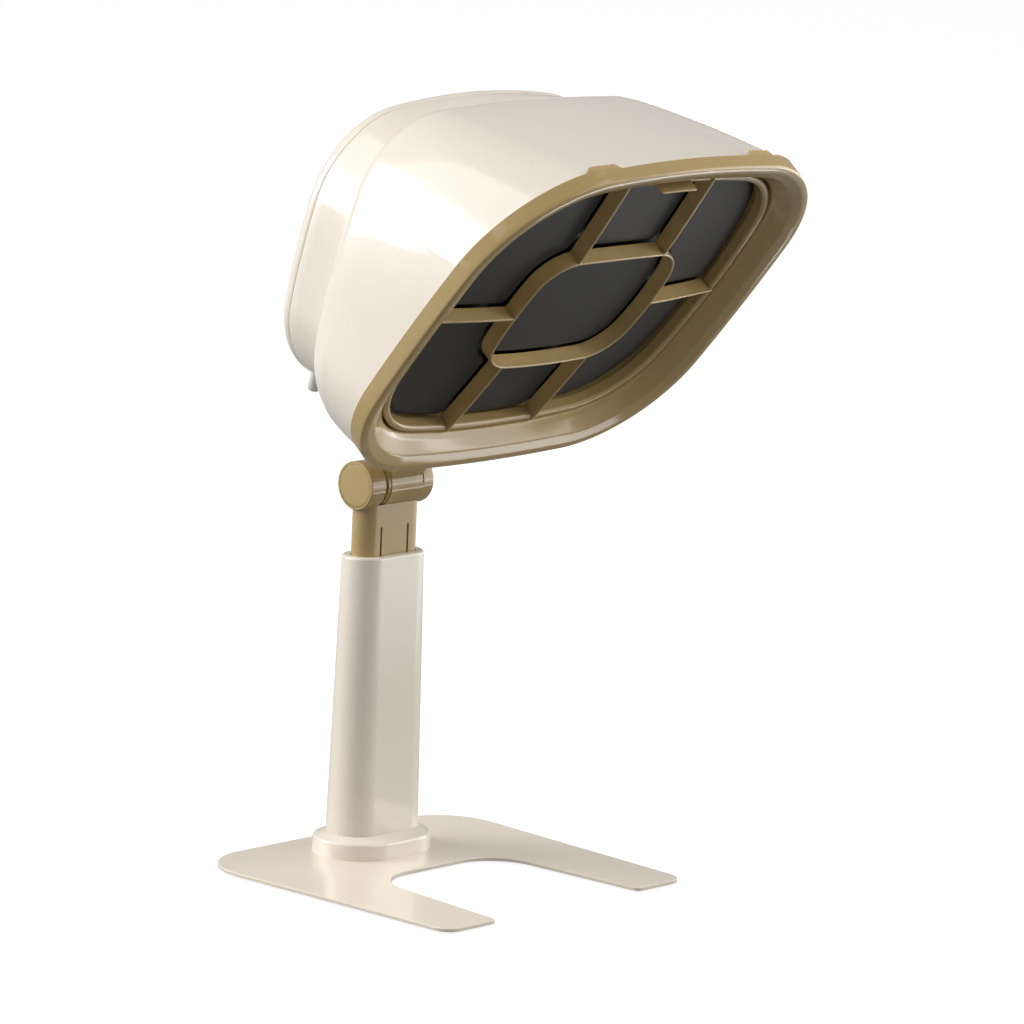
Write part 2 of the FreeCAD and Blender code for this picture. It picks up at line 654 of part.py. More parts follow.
def mast_shoe():
    """Glide at the mast's lower end that runs in the guide tube."""
    plug = stadium_prism(MAST_FLAT, MAST_RADIUS - MAST_WALL - 0.1, MAST_BOTTOM, MAST_BOTTOM + SHOE_HEIGHT)
    flange = stadium_prism(MAST_FLAT, GUIDE_INNER - SLIDE_GAP, MAST_BOTTOM - 6, MAST_BOTTOM)
    shoe = plug.fuse(flange).removeSplitter()
    return shoe.cut(stadium_prism(MAST_FLAT, MAST_RADIUS - MAST_WALL - 3, MAST_BOTTOM - 7,
                                  MAST_BOTTOM + SHOE_HEIGHT - 4))


# Hood shells


def shell_solid(front_inset, front_z, rear_inset, rear_z, drop=0.0):
    """Solid between the mouth's outline and the rear plane, swelled at its middle."""
    def around(swell):
        front = outline_points(inset(MOUTH_OUTLINE, front_inset - swell), front_z)
        back = outline_points(inset(SHELL_REAR_OUTLINE, rear_inset - swell), rear_z)
        front = [MOUTH.multVec(p - Vec(0, drop, 0)) for p in front]
        return front, [REAR.multVec(p - Vec(0, SHELL_REAR_DROP, 0)) for p in back]

    front, back = around(0)
    middle = [p.add(q).multiply(0.5) for p, q in zip(*around(SHELL_SWELL))]
    sections = [smooth_curve(pts, middle) for pts in (back, middle, front)]
    return Part.makeLoft(sections, True, False)


def edge_at(solid, place, z, tolerance=0.2):
    """Edges of a solid that lie in the plane z of a frame."""
    back = place.inverse()
    found = []
    for e in solid.Edges:
        pts = [back.multVec(p) for p in e.discretize(Number=5)]
        if all(abs(p.z - z) < tolerance for p in pts):
            found.append(e)
    return found


def main_shell():
    """Lofted shell with a rounded rear edge and a spigot that plugs into the front ring."""
    front_inset = RING_TAB_THICK + SLIDE_GAP - SHELL_DROP
    outer = shell_solid(front_inset, -RING_DEPTH, 0, 0, SHELL_DROP)
    outer = outer.makeFillet(SHELL_REAR_ROUND, edge_at(outer, REAR, 0))
    spigot = RING_WALL + SLIDE_GAP
    plug = prism(inset(MOUTH_OUTLINE, spigot), -RING_DEPTH - 1, -RING_WALL)
    bore = spigot + SPIGOT_WALL
    inner = shell_solid(bore + SPIGOT_STEP, -RING_DEPTH, SHELL_WALL, SHELL_WALL)
    inner = inner.makeChamfer(SHELL_REAR_ROUND * 0.6, edge_at(inner, REAR, SHELL_WALL))
    mouth = prism(inset(MOUTH_OUTLINE, bore), -RING_DEPTH - 0.5, 0)
    opening = prism(inset(HOUSING_OUTLINE, HOUSING_WALL + HOUSING_FLANGE), -5, 10)
    body = outer.fuse(in_frame(plug, MOUTH)).cut(inner).cut(in_frame(mouth, MOUTH))
    return body.cut(in_frame(opening, REAR))


def rear_housing():
    outer = prism(HOUSING_OUTLINE, -HOUSING_DEPTH, 0)
    cavity = prism(inset(HOUSING_OUTLINE, HOUSING_WALL), -HOUSING_DEPTH - 1, 1)
    wall = outer.cut(cavity)
    flange = prism(inset(HOUSING_OUTLINE, HOUSING_WALL - 0.1), -HOUSING_FLANGE_THICK, 0)
    flange = flange.cut(prism(inset(HOUSING_OUTLINE, HOUSING_WALL + HOUSING_FLANGE), -4, 1))
    body = wall.fuse(flange)
    for x, y in cover_bosses():
        boss = cylinder_z(COVER_BOSS_RADIUS, -HOUSING_DEPTH, -COVER_BOSS_FRONT, x, y)
        body = body.fuse(boss.common(outer))
    pad = box(PANEL_PAD, HOUSING_HALF_WIDTH + 5, -PANEL_HALF_LENGTH - 5, PANEL_HALF_LENGTH + 5,
              -PANEL_BACK - 2.5, -PANEL_FRONT + 2.5)
    body = body.fuse(pad.common(outer))
    body = body.cut(box(PANEL_SEAT, HOUSING_HALF_WIDTH + 9, -PANEL_HALF_LENGTH, PANEL_HALF_LENGTH,
                        -PANEL_BACK, -PANEL_FRONT))
    body = body.cut(knob_bore(PANEL_PAD - 1))
    body = body.cut(rocker_window(PANEL_PAD - 1))
    return in_frame(body.cut(arm_screw_shapes(0.1)).removeSplitter(), REAR)


def corner_points(x, y):
    return [(sx * x, sy * y) for sx in (-1, 1) for sy in (-1, 1)]


def cover_bosses():
    """Middles of the four bosses, each tucked into a corner of the housing."""
    corner = corner_centre(HOUSING_HALF_WIDTH, HOUSING_HALF_HEIGHT, HOUSING_SIDE_BOW,
                           HOUSING_TOP_BOW, HOUSING_CORNER)[2]
    out = (HOUSING_CORNER - COVER_BOSS_INSET) / math.sqrt(2)
    return corner_points(corner.x + out, corner.y + out)


COVER_BACK = -HOUSING_DEPTH - COVER_DEPTH
COVER_INSIDE = COVER_BACK + HOUSING_WALL


def rear_cover():
    """Dished cover with rows of air intake slots, on four pillars that keep a fine seam."""
    front = -HOUSING_DEPTH - COVER_SEAM
    body = smooth_prism(HOUSING_OUTLINE, COVER_BACK, front)
    body = body.makeFillet(COVER_ROUND, [e for e in body.Edges if e.BoundBox.ZMax < COVER_BACK + 0.1])
    hollow = inset(HOUSING_OUTLINE, HOUSING_WALL)
    bevel = COVER_ROUND - HOUSING_WALL
    body = body.cut(prism(hollow, COVER_INSIDE + bevel, front + 1))
    body = body.cut(flared(inset(hollow, bevel), COVER_INSIDE, hollow, COVER_INSIDE + bevel))
    for x, y in cover_bosses():
        pillar = cylinder_z(COVER_BOSS_RADIUS, COVER_INSIDE - 0.5, -HOUSING_DEPTH, x, y)
        body = body.fuse(pillar.common(prism(hollow, COVER_INSIDE - 0.5, 0)))
    for i in range(INTAKE_ROWS):
        v = (i - (INTAKE_ROWS - 1) / 2) * INTAKE_PITCH
        reach = math.sqrt(INTAKE_REACH ** 2 - v * v)
        half = INTAKE_SLOT / 2
        body = body.cut(box(-reach, reach, v - half, v + half, COVER_BACK - 1, COVER_INSIDE + 1))
    return in_frame(body.cut(gland_shape(GLAND_RADIUS + 0.05)), REAR)


# Arm under the hood


def arm_screw_shapes(gap=0.0):
    """Screws up through the arm's foot into the housing's floor, in the rear frame."""
    shapes = []
    for x in (ARM_CENTRE - ARM_SCREW_OFFSET, ARM_CENTRE + ARM_SCREW_OFFSET):
        seat = Vec(x, -HOUSING_HALF_HEIGHT - ARM_FOOT_THICK + 1.5, -ARM_SCREW_BACK)
        shank = Part.makeCylinder(ARM_SCREW_RADIUS + gap, ARM_FOOT_THICK + 4 + gap, seat, Vec(0, 1, 0))
        head = Part.makeCylinder(ARM_SCREW_HEAD + gap, 2.5 + 9 * gap, seat, Vec(0, -1, 0))
        shapes.append(shank.fuse(head).removeSplitter())
    return Part.makeCompound(shapes)


def hood_arm():
    """Hub on the tilt shaft and a flared link up to a foot that hugs the housing."""
    left = HUB_LEFT + WASHER_THICK + 2 * WASHER_GAP
    right = HUB_RIGHT - WASHER_THICK - 2 * WASHER_GAP
    hub = at_hinge(cylinder_x(HUB_RADIUS, left, right))
    half = ARM_THICK / 2
    flare = ARM_SCREW_OFFSET - ARM_SCREW_HEAD - 1.5
    foot_middle = REAR.multVec(Vec(0, -HOUSING_HALF_HEIGHT, -ARM_SCREW_BACK))
    ahead = -foot_middle.y
    above = foot_middle.z - HINGE_HEIGHT
    lean = math.degrees(math.atan2(ahead, above)) + ARM_LEAN_FORWARD
    reach = math.hypot(ahead, above) + ARM_OVERRUN
    side = [(left, 0), (right, 0), (right, ARM_NECK), (ARM_CENTRE + flare, reach - ARM_FLARE),
            (ARM_CENTRE + flare, reach), (ARM_CENTRE - flare, reach),
            (ARM_CENTRE - flare, reach - ARM_FLARE), (left, ARM_NECK)]
    pts = [Vec(x, t, -half) for x, t in side]
    link = Part.Face(Part.makePolygon(pts + pts[:1])).extrude(Vec(0, 0, ARM_THICK))
    link = in_frame(link, frame(0, HINGE_HEIGHT, lean))
    body = hub.fuse(link)
    foot = prism(grown(HOUSING_OUTLINE, ARM_FOOT_THICK), -ARM_FOOT_BACK, -ARM_FOOT_FRONT)
    foot = foot.common(box(ARM_CENTRE - ARM_FOOT_HALF_WIDTH, ARM_CENTRE + ARM_FOOT_HALF_WIDTH,
                           -HOUSING_HALF_HEIGHT - 20, 0, -ARM_FOOT_BACK, -ARM_FOOT_FRONT))
    body = body.fuse(in_frame(foot, REAR))
    body = body.cut(in_frame(prism(HOUSING_OUTLINE, -HOUSING_DEPTH - 20, 20), REAR))
    body = body.cut(in_frame(box(-60, 60, -HOUSING_HALF_HEIGHT - 20, 0, -ARM_SHELL_GAP, 60), REAR))
    body = body.cut(at_hinge(cylinder_x(SHAFT_RADIUS + SHAFT_GAP, left - 1, right + 1)))
    return body.cut(in_frame(arm_screw_shapes(0.1), REAR)).removeSplitter()


ARM_CENTRE = (HUB_LEFT + HUB_RIGHT) / 2


# Fan, duct and heater


def fan_duct():
    z1 = -HOUSING_FLANGE_THICK
    plate = prism(inset(HOUSING_OUTLINE, HOUSING_WALL + 0.3), z1 - DUCT_PLATE_THICK, z1)
    body = plate.fuse(cylinder_z(DUCT_RADIUS + DUCT_WALL, -DUCT_BACK, DUCT_FRONT))
    body = body.cut(cylinder_z(DUCT_RADIUS, -DUCT_BACK - 1, DUCT_FRONT + 1))
    body = body.cut(box(PANEL_PAD - SWITCH_HEIGHT - BOARD_THICK - 2, HOUSING_HALF_WIDTH,
                        -PANEL_HALF_LENGTH - 6, PANEL_HALF_LENGTH + 6, -DUCT_BACK, 0))
    return in_frame(body.removeSplitter(), REAR)


def motor_bracket():
    z0 = -BRACKET_BACK
    body = cylinder_z(MOTOR_RADIUS + 2, z0, z0 + BRACKET_THICK)
    half = BRACKET_ARM_WIDTH / 2
    arms = box(-DUCT_RADIUS - 1, DUCT_RADIUS + 1, -half, half, z0, z0 + BRACKET_THICK)
    arms = arms.fuse(box(-half, half, -DUCT_RADIUS - 1, DUCT_RADIUS + 1, z0, z0 + BRACKET_THICK))
    body = body.fuse(arms.common(cylinder_z(DUCT_RADIUS, z0 - 1, 1)))
    return in_frame(body.cut(cylinder_z(MOTOR_SHAFT_RADIUS * 2, z0 - 1, 0)).removeSplitter(), REAR)


def fan_motor():
    z0 = -BRACKET_BACK + BRACKET_THICK
    body = cylinder_z(MOTOR_RADIUS, z0, z0 + MOTOR_LENGTH)
    body = body.fuse(cylinder_z(MOTOR_SHAFT_RADIUS * 2, z0 - BRACKET_THICK, z0))
    body = body.fuse(cylinder_z(MOTOR_SHAFT_RADIUS, -FAN_BACK + 3, z0 - BRACKET_THICK))
    return in_frame(body.removeSplitter(), REAR)


def fan_blade():
    """One twisted blade, lofted from a steep root to a flatter, wider tip."""
    middle = -FAN_BACK + FAN_DEPTH / 2

    def section(r, half_chord, pitch, thick):
        a = math.radians(pitch)
        along = Vec(0, math.cos(a), math.sin(a)) * half_chord
        across = Vec(0, -math.sin(a), math.cos(a)) * (thick / 2)
        centre = Vec(r, 0, middle)
        pts = [centre - along - across, centre + along - across,
               centre + along + across, centre - along + across]
        return Part.makePolygon(pts + pts[:1])

    root = section(FAN_HUB_RADIUS - 1.5, 9, 50, 1.8)
    tip = section(math.sqrt(FAN_RADIUS ** 2 - 15 ** 2), 16, 24, 1.2)
    return Part.makeLoft([root, tip], True, True)


def impeller():
    hub = cylinder_z(FAN_HUB_RADIUS, -FAN_BACK, -FAN_BACK + FAN_DEPTH)
    hub = hub.makeChamfer(2.5, [e for e in hub.Edges if e.BoundBox.ZMax < -FAN_BACK + 0.1])
    body = hub
    blade = fan_blade()
    for i in range(FAN_BLADES):
        turned = blade.copy()
        turned.rotate(Vec(0, 0, 0), Vec(0, 0, 1), 360 * i / FAN_BLADES)
        body = body.fuse(turned)
    bore = cylinder_z(MOTOR_SHAFT_RADIUS + SHAFT_GAP, -FAN_BACK + 2.5, 0)
    return in_frame(body.cut(bore).removeSplitter(), REAR)


def coil_ring():
    z0 = MICA_BACK + (MICA_DEPTH - COIL_WIDTH) / 2
    ring = cylinder_z(COIL_RADIUS + COIL_THICK / 2, z0, z0 + COIL_WIDTH)
    return ring.cut(cylinder_z(COIL_RADIUS - COIL_THICK / 2, z0 - 1, z0 + COIL_WIDTH + 1))


def heater_frame():
    half = MICA_THICK / 2
    z1 = MICA_BACK + MICA_DEPTH
    cross = box(-DUCT_RADIUS - 1, DUCT_RADIUS + 1, -half, half, MICA_BACK, z1)
    cross = cross.fuse(box(-half, half, -DUCT_RADIUS - 1, DUCT_RADIUS + 1, MICA_BACK, z1))
    cross = cross.common(cylinder_z(DUCT_RADIUS, MICA_BACK - 1, z1 + 1))
    return in_frame(cross.cut(coil_ring()).removeSplitter(), REAR)


def thermal_cutout():
    z = MICA_BACK + MICA_DEPTH / 2
    body = Part.makeCylinder(CUTOUT_RADIUS, 4, Vec(CUTOUT_OFFSET, MICA_THICK / 2, z), Vec(0, 1, 0))
    return in_frame(body, REAR)


def intake_filter():
    body = box(-FILTER_HALF_WIDTH, FILTER_HALF_WIDTH, -FILTER_HALF_HEIGHT, FILTER_HALF_HEIGHT,
               COVER_INSIDE, COVER_INSIDE + FILTER_THICK)
    edges = [e for e in body.Edges if e.BoundBox.ZLength > FILTER_THICK / 2]
    return in_frame(body.makeFillet(20, edges), REAR)


# Controls, drawn in the rear frame on the housing's right-hand wall


PANEL_MIDDLE = -(PANEL_BACK + PANEL_FRONT) / 2


def knob_bore(x0):
    return cylinder_x(KNOB_SHAFT_RADIUS + 0.4, x0, HOUSING_HALF_WIDTH + 9, KNOB_OFFSET, PANEL_MIDDLE)


def rocker_window(x0):
    half_y = ROCKER_HALF_LENGTH + 0.8
    half_z = ROCKER_HALF_WIDTH + 0.3
    return box(x0, HOUSING_HALF_WIDTH + 9, -ROCKER_OFFSET - half_y, -ROCKER_OFFSET + half_y,
               PANEL_MIDDLE - half_z, PANEL_MIDDLE + half_z)


def rocker_pins(gap):
    half = ROCKER_HALF_WIDTH + 1.8 + gap
    return cylinder_z(ROCKER_PIN_RADIUS + gap, PANEL_MIDDLE - half, PANEL_MIDDLE + half,
                      ROCKER_PIVOT, -ROCKER_OFFSET)


def control_panel():
    half = PANEL_HALF_LENGTH - PANEL_FIT
    body = box(PANEL_SEAT, PANEL_SEAT + PANEL_THICK, -half, half,
               -PANEL_BACK + PANEL_FIT, -PANEL_FRONT - PANEL_FIT)
    edges = [e for e in body.Edges if e.BoundBox.XLength > PANEL_THICK / 2]
    body = body.makeChamfer(PANEL_CORNER, edges)
    body = body.cut(knob_bore(PANEL_SEAT - 1)).cut(rocker_window(PANEL_SEAT - 1))
    return in_frame(body.cut(rocker_pins(0.05)), REAR)


def heat_knob():
    """Round knob with a raised pointer, on its shaft."""
    x0 = PANEL_SEAT + PANEL_THICK + 0.3
    x1 = x0 + KNOB_HEIGHT
    y = KNOB_OFFSET
    z = PANEL_MIDDLE
    cap = cylinder_x(KNOB_RADIUS, x0, x1, y, z)
    cap = cap.makeChamfer(1.0, [e for e in cap.Edges if e.BoundBox.XMin > x1 - 0.1])
    pointer = box(x1 - 1, x1 + 0.6, y, y + KNOB_RADIUS - 1.5, z - 0.7, z + 0.7)
    shaft = cylinder_x(KNOB_SHAFT_RADIUS, PANEL_PAD - SWITCH_HEIGHT + 1, x0 + 1, y, z)
    return in_frame(cap.fuse(pointer).fuse(shaft).removeSplitter(), REAR)


def power_rocker():
    """Rocker with a hollow face and two stub pins, resting on its lower stop."""
    n = ROCKER_HALF_LENGTH
    side = [(-2.6, -5), (-2.6, 5), (-1, n), (2.7, n), (1.3, 0), (2.7, -n), (-1, -n)]
    pts = [Vec(ROCKER_PIVOT + x, y, -ROCKER_HALF_WIDTH) for x, y in side]
    body = Part.Face(Part.makePolygon(pts + pts[:1])).extrude(Vec(0, 0, 2 * ROCKER_HALF_WIDTH))
    body.translate(Vec(0, -ROCKER_OFFSET, PANEL_MIDDLE))
    body = body.fuse(rocker_pins(0)).removeSplitter()
    body.rotate(Vec(ROCKER_PIVOT, -ROCKER_OFFSET, 0), Vec(0, 0, 1), -ROCKER_ANGLE)
    return in_frame(body, REAR)


def control_board():
    """Circuit board with the two switch bodies that reach up to the housing's pad."""
    x1 = PANEL_PAD
    x0 = x1 - SWITCH_HEIGHT
    z = PANEL_MIDDLE
    half = PANEL_HALF_LENGTH - 4
    board = box(x0 - BOARD_THICK, x0, -half, half, z - 9, z + 9)
    board = board.fuse(box(x0, x1, KNOB_OFFSET - 8, KNOB_OFFSET + 8, z - 8, z + 8))
    board = board.fuse(box(x0, x1, -ROCKER_OFFSET - 12, -ROCKER_OFFSET + 12, z - 8, z + 8))
    shaft = cylinder_x(KNOB_SHAFT_RADIUS + SHAFT_GAP, x0 + 0.5, x1 + 1, KNOB_OFFSET, z)
    return in_frame(board.cut(shaft).removeSplitter(), REAR)


def gland_shape(radius):
    return Part.makeCylinder(radius, GLAND_BOTTOM - GLAND_TOP, Vec(-GLAND_ACROSS, -GLAND_BOTTOM, -GLAND_BACK),
                             Vec(0, 1, 0))


def cord_gland():
    body = gland_shape(GLAND_RADIUS)
    body = body.makeFillet(GLAND_ROUND, [e for e in body.Edges if e.BoundBox.YMax < -GLAND_BOTTOM + 0.1])
    bore = Part.makeCylinder(GLAND_RADIUS - 1.4, 12, Vec(-GLAND_ACROSS, -GLAND_BOTTOM - 1, -GLAND_BACK),
                             Vec(0, 1, 0))
    return in_frame(body.cut(bore), REAR)


# Front ring, grille and emitters


POCKET_BACK = -GRILLE_FRAME_SET_BACK - GRILLE_FRAME_DEPTH - TRAY_GAP
POCKET_OUTLINE = grown(GRILLE_OUTLINE, GRILLE_GAP)
SKIRT_OUTLINE = grown(POCKET_OUTLINE, SKIRT_WALL)


def ring_tab(x):
    """Clip tab that reaches back from the ring's top edge over the shell."""
    band = smooth_prism(MOUTH_OUTLINE, -RING_DEPTH - RING_TAB_REACH, -RING_DEPTH)
    band = band.cut(prism(inset(MOUTH_OUTLINE, RING_TAB_THICK), -RING_DEPTH - RING_TAB_REACH - 1, 0))
    wide = RING_TAB_WIDTH / 2
    narrow = wide - RING_TAB_SLANT
    pts = [Vec(x - wide, 0, -RING_DEPTH), Vec(x + wide, 0, -RING_DEPTH),
           Vec(x + narrow, 0, -RING_DEPTH - RING_TAB_REACH),
           Vec(x - narrow, 0, -RING_DEPTH - RING_TAB_REACH)]
    window = Part.Face(Part.makePolygon(pts + pts[:1])).extrude(Vec(0, MOUTH_HALF_HEIGHT + 5, 0))
    return band.common(window)


def front_ring():
    """Band with a rolled lip, a bevelled inner wall and a skirt that houses the grille."""
    lip = inset(MOUTH_OUTLINE, RING_LIP)
    bevel_back = -GRILLE_FRAME_SET_BACK
    body = smooth_prism(MOUTH_OUTLINE, -RING_DEPTH, 0)
    body = body.makeFillet(RING_ROUND, [e for e in body.Edges if e.BoundBox.ZMin > -0.1])
    body = body.cut(prism(inset(MOUTH_OUTLINE, RING_WALL), -RING_DEPTH - 1, -RING_WALL))
    body = body.fuse(flared(SKIRT_OUTLINE, bevel_back, grown(lip, RING_WALL), -RING_WALL / 2))
    body = body.fuse(prism(SKIRT_OUTLINE, POCKET_BACK, bevel_back))
    body = body.cut(flared(POCKET_OUTLINE, bevel_back, lip, 0.0))
    body = body.cut(prism(POCKET_OUTLINE, POCKET_BACK - 1, bevel_back))
    for x in (-RING_TAB_LEFT, RING_TAB_RIGHT):
        body = body.fuse(ring_tab(x))
    return in_frame(body.removeSplitter(), MOUTH)


def ball(set_back):
    """Large ball whose skin crowns the grille, with its poles and its seam out of the way."""
    body = Part.makeSphere(GRILLE_CROWN, Vec(0, 0, 0))
    body.rotate(Vec(0, 0, 0), Vec(0, 1, 0), 90)
    body.rotate(Vec(0, 0, 0), Vec(1, 0, 0), 90)
    body.translate(Vec(0, 0, -set_back - GRILLE_CROWN))
    return body


def finger_tab():
    """Lip that stands out from the frame's top bar, to pull the insert by."""
    top = GRILLE_HALF_HEIGHT - 0.5
    wide = FINGER_TAB_HALF_WIDTH
    narrow = wide - FINGER_TAB_SLANT
    root = -GRILLE_FRAME_SET_BACK - 1
    end = -GRILLE_FRAME_SET_BACK + FINGER_TAB_REACH
    low = top - FINGER_TAB_THICK
    pts = [Vec(-wide, low, root), Vec(-narrow, low, end), Vec(narrow, low, end), Vec(wide, low, root)]
    return Part.Face(Part.makePolygon(pts + pts[:1])).extrude(Vec(0, FINGER_TAB_THICK, 0))


def spoke_boxes(half, z0, z1):
    """Six straight bars from the loop out to the frame, of a given half thickness."""
    far_x = GRILLE_HALF_WIDTH - GRILLE_FRAME / 2
    far_y = GRILLE_HALF_HEIGHT - GRILLE_FRAME
    near_x = LOOP_HALF_WIDTH - RIB_THICK / 2
    near_y = LOOP_HALF_HEIGHT - RIB_THICK * 1.5
    bars = []
    for s in (-1, 1):
        bars.append(box(min(s * near_x, s * far_x), max(s * near_x, s * far_x), -half, half, z0, z1))
        for t in (-1, 1):
            x = s * SPOKE_OFFSET
            bars.append(box(x - half, x + half, min(t * near_y, t * far_y), max(t * near_y, t * far_y),
                            z0, z1))
    return bars


def grille_insert():
    """Frame, crowned loop and six crowned spokes, in one moulding."""
    frame_back = -GRILLE_FRAME_SET_BACK - GRILLE_FRAME_DEPTH
    rim = prism(GRILLE_OUTLINE, frame_back, -GRILLE_FRAME_SET_BACK)
    rim = rim.cut(prism(inset(GRILLE_OUTLINE, GRILLE_FRAME), frame_back - 1, 1))
    back = -GRILLE_SET_BACK - GRILLE_DEPTH - 10
    ribs = prism(LOOP_OUTLINE, back, 0).cut(prism(inset(LOOP_OUTLINE, RIB_THICK), back - 1, 1))
    for bar in spoke_boxes(RIB_THICK / 2, back, 0):
        ribs = ribs.fuse(bar)
    crowned = ribs.common(ball(GRILLE_SET_BACK)).cut(ball(GRILLE_SET_BACK + GRILLE_DEPTH))
    return in_frame(rim.fuse(crowned).fuse(finger_tab()).removeSplitter(), MOUTH)


def emitter_plates():
    """Seven crowned plates, one in each cell of the grille, each on a stud."""
    z0 = POCKET_BACK - 5
    half = RIB_THICK / 2 + PLATE_GAP
    field = prism(inset(GRILLE_OUTLINE, GRILLE_FRAME + PLATE_GAP), z0, 0)
    field = field.cut(prism(grown(LOOP_OUTLINE, PLATE_GAP), z0 - 1, 1))
    for bar in spoke_boxes(half, z0 - 1, 1):
        field = field.cut(bar)
    cells = field.Solids + [prism(inset(LOOP_OUTLINE, RIB_THICK + PLATE_GAP), z0, 0)]
    plates = {}
    for cell in cells:
        c = cell.CenterOfMass
        edges = [e for e in cell.Edges if e.BoundBox.ZLength > 10 and len(e.Vertexes) == 2
                 and e.BoundBox.XLength < 0.01 and e.BoundBox.YLength < 0.01]
        if abs(c.x) > 1 or abs(c.y) > 1:
            cell = cell.makeFillet(EMITTER_CORNER, edges)
        plate = cell.common(ball(EMITTER_SET_BACK)).cut(ball(EMITTER_SET_BACK + EMITTER_THICK))
        s = STUD_HALF_WIDTH
        stud = box(c.x - s, c.x + s, c.y - s, c.y + s, POCKET_BACK, -EMITTER_SET_BACK)
        stud = stud.common(ball(EMITTER_SET_BACK + EMITTER_THICK / 2))
        row = "upper" if c.y > 20 else "lower"
        if abs(c.x) < 10:
            name = "centre" if abs(c.y) < 10 else ("top" if c.y > 0 else "bottom")
        else:
            name = row + ("_left" if c.x < 0 else "_right")
        plates["plate_" + name] = in_frame(plate.fuse(stud).removeSplitter(), MOUTH)
    return plates


def plate_tray():
    """Flat tray behind the plates, slotted where the gaps round them let the air out."""
    z1 = POCKET_BACK
    z0 = z1 - TRAY_THICK
    body = prism(SKIRT_OUTLINE, z0, z1)
    half = TRAY_SLOT / 2
    long = TRAY_SLOT_REACH
    rows = [(x, s * y, half, long) for x in (-SPOKE_OFFSET, SPOKE_OFFSET)
            for y in ((LOOP_HALF_HEIGHT + GRILLE_HALF_HEIGHT) / 2,) for s in (-1, 1)]
    rows += [(s * (LOOP_HALF_WIDTH + GRILLE_HALF_WIDTH) / 2, 0, long, half) for s in (-1, 1)]
    rows += [(s * LOOP_HALF_WIDTH, 0, half, long) for s in (-1, 1)]
    rows += [(0, s * LOOP_HALF_HEIGHT, long, half) for s in (-1, 1)]
    for x, y, half_x, half_y in rows:
        body = body.cut(box(x - half_x, x + half_x, y - half_y, y + half_y, z0 - 1, z1 + 1))
    return in_frame(body, MOUTH)


def build():
    keep("base_plate", base_plate())
    keep("foot_pads", foot_pads())
    keep("centre_pad", centre_pad())
    keep("base_screws", base_screw_shapes())
    keep("column_sleeve", column_sleeve())
    keep("base_collar", base_collar())
    keep("guide_tube", guide_tube())
    keep("column_foot", column_foot())
    keep("guide_bush", guide_bush())
    keep("mast_tube", mast_tube())
    keep("mast_shoe", mast_shoe())
    keep("hinge_barrel", hinge_barrel())
    keep("hinge_cap_left", hinge_cap(-1))
    keep("hinge_cap_right", hinge_cap(1))
    keep("tilt_shaft", tilt_shaft())
    keep("friction_washers", friction_washers())
    keep("hood_arm", hood_arm())
    keep("arm_screws", in_frame(arm_screw_shapes(), REAR))
    keep("main_shell", main_shell())
    keep("rear_housing", rear_housing())
    keep("rear_cover", rear_cover())
    keep("fan_duct", fan_duct())
    keep("motor_bracket", motor_bracket())
    keep("fan_motor", fan_motor())
    keep("impeller", impeller())
    keep("heater_frame", heater_frame())
    keep("heater_element", in_frame(coil_ring(), REAR))
    keep("thermal_cutout", thermal_cutout())
    keep("intake_filter", intake_filter())
    keep("control_panel", control_panel())
    keep("control_board", control_board())
    keep("heat_knob", heat_knob())
    keep("power_rocker", power_rocker())
    keep("cord_gland", cord_gland())
    keep("front_ring", front_ring())
    keep("grille_insert", grille_insert())
    keep("plate_tray", plate_tray())
    for name, plate in emitter_plates().items():
        keep(name, plate)


build()
os.makedirs("parts", exist_ok=True)
for name, shape in PLACED.items():
    shape.exportStep("parts/" + name + ".step")
    print(name, "valid", shape.isValid(), "solids", len(shape.Solids), "volume %.0f" % shape.Volume)
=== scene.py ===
import math

import bmesh
import bpy
import numpy as np
from mathutils import Matrix, Vector


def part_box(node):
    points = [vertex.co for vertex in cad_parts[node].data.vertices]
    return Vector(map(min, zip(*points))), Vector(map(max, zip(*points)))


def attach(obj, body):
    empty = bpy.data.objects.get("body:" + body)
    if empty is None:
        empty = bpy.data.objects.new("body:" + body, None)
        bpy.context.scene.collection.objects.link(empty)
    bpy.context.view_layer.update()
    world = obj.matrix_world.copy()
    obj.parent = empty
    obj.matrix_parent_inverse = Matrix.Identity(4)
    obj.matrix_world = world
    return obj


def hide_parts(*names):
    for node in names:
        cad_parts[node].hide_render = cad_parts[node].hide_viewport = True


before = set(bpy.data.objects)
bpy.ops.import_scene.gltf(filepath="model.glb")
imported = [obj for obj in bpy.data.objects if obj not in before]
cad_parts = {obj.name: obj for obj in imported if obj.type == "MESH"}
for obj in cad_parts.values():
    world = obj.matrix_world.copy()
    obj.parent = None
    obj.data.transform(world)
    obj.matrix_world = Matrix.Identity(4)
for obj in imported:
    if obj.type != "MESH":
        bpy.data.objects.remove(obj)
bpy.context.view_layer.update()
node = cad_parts


# The camera stands low and to the left of the dryer's mouth, a long way off, as in
# the photograph, and is rolled by a small angle.
forward = Vector((0.71603709, 0.67241398, -0.1874842))
roll = math.radians(2.6098)
level = forward.cross(Vector((0, 0, 1))).normalized()
above = level.cross(forward).normalized()
across = level * math.cos(roll) + above * math.sin(roll)
upright = above * math.cos(roll) - level * math.sin(roll)
facing = Matrix((across, upright, -forward)).transposed().to_4x4()
camera_data = bpy.data.cameras.new("photo_camera")
camera_data.lens = 210.94
camera_data.sensor_width = 36.0
camera_data.clip_start = 0.5
camera_data.clip_end = 60.0
camera = bpy.data.objects.new("photo_camera", camera_data)
camera.matrix_world = Matrix.Translation((-2.904545, -2.847936, 1.02354)) @ facing
bpy.context.scene.collection.objects.link(camera)
bpy.context.scene.camera = camera
bpy.context.scene.view_settings.view_transform = "Standard"


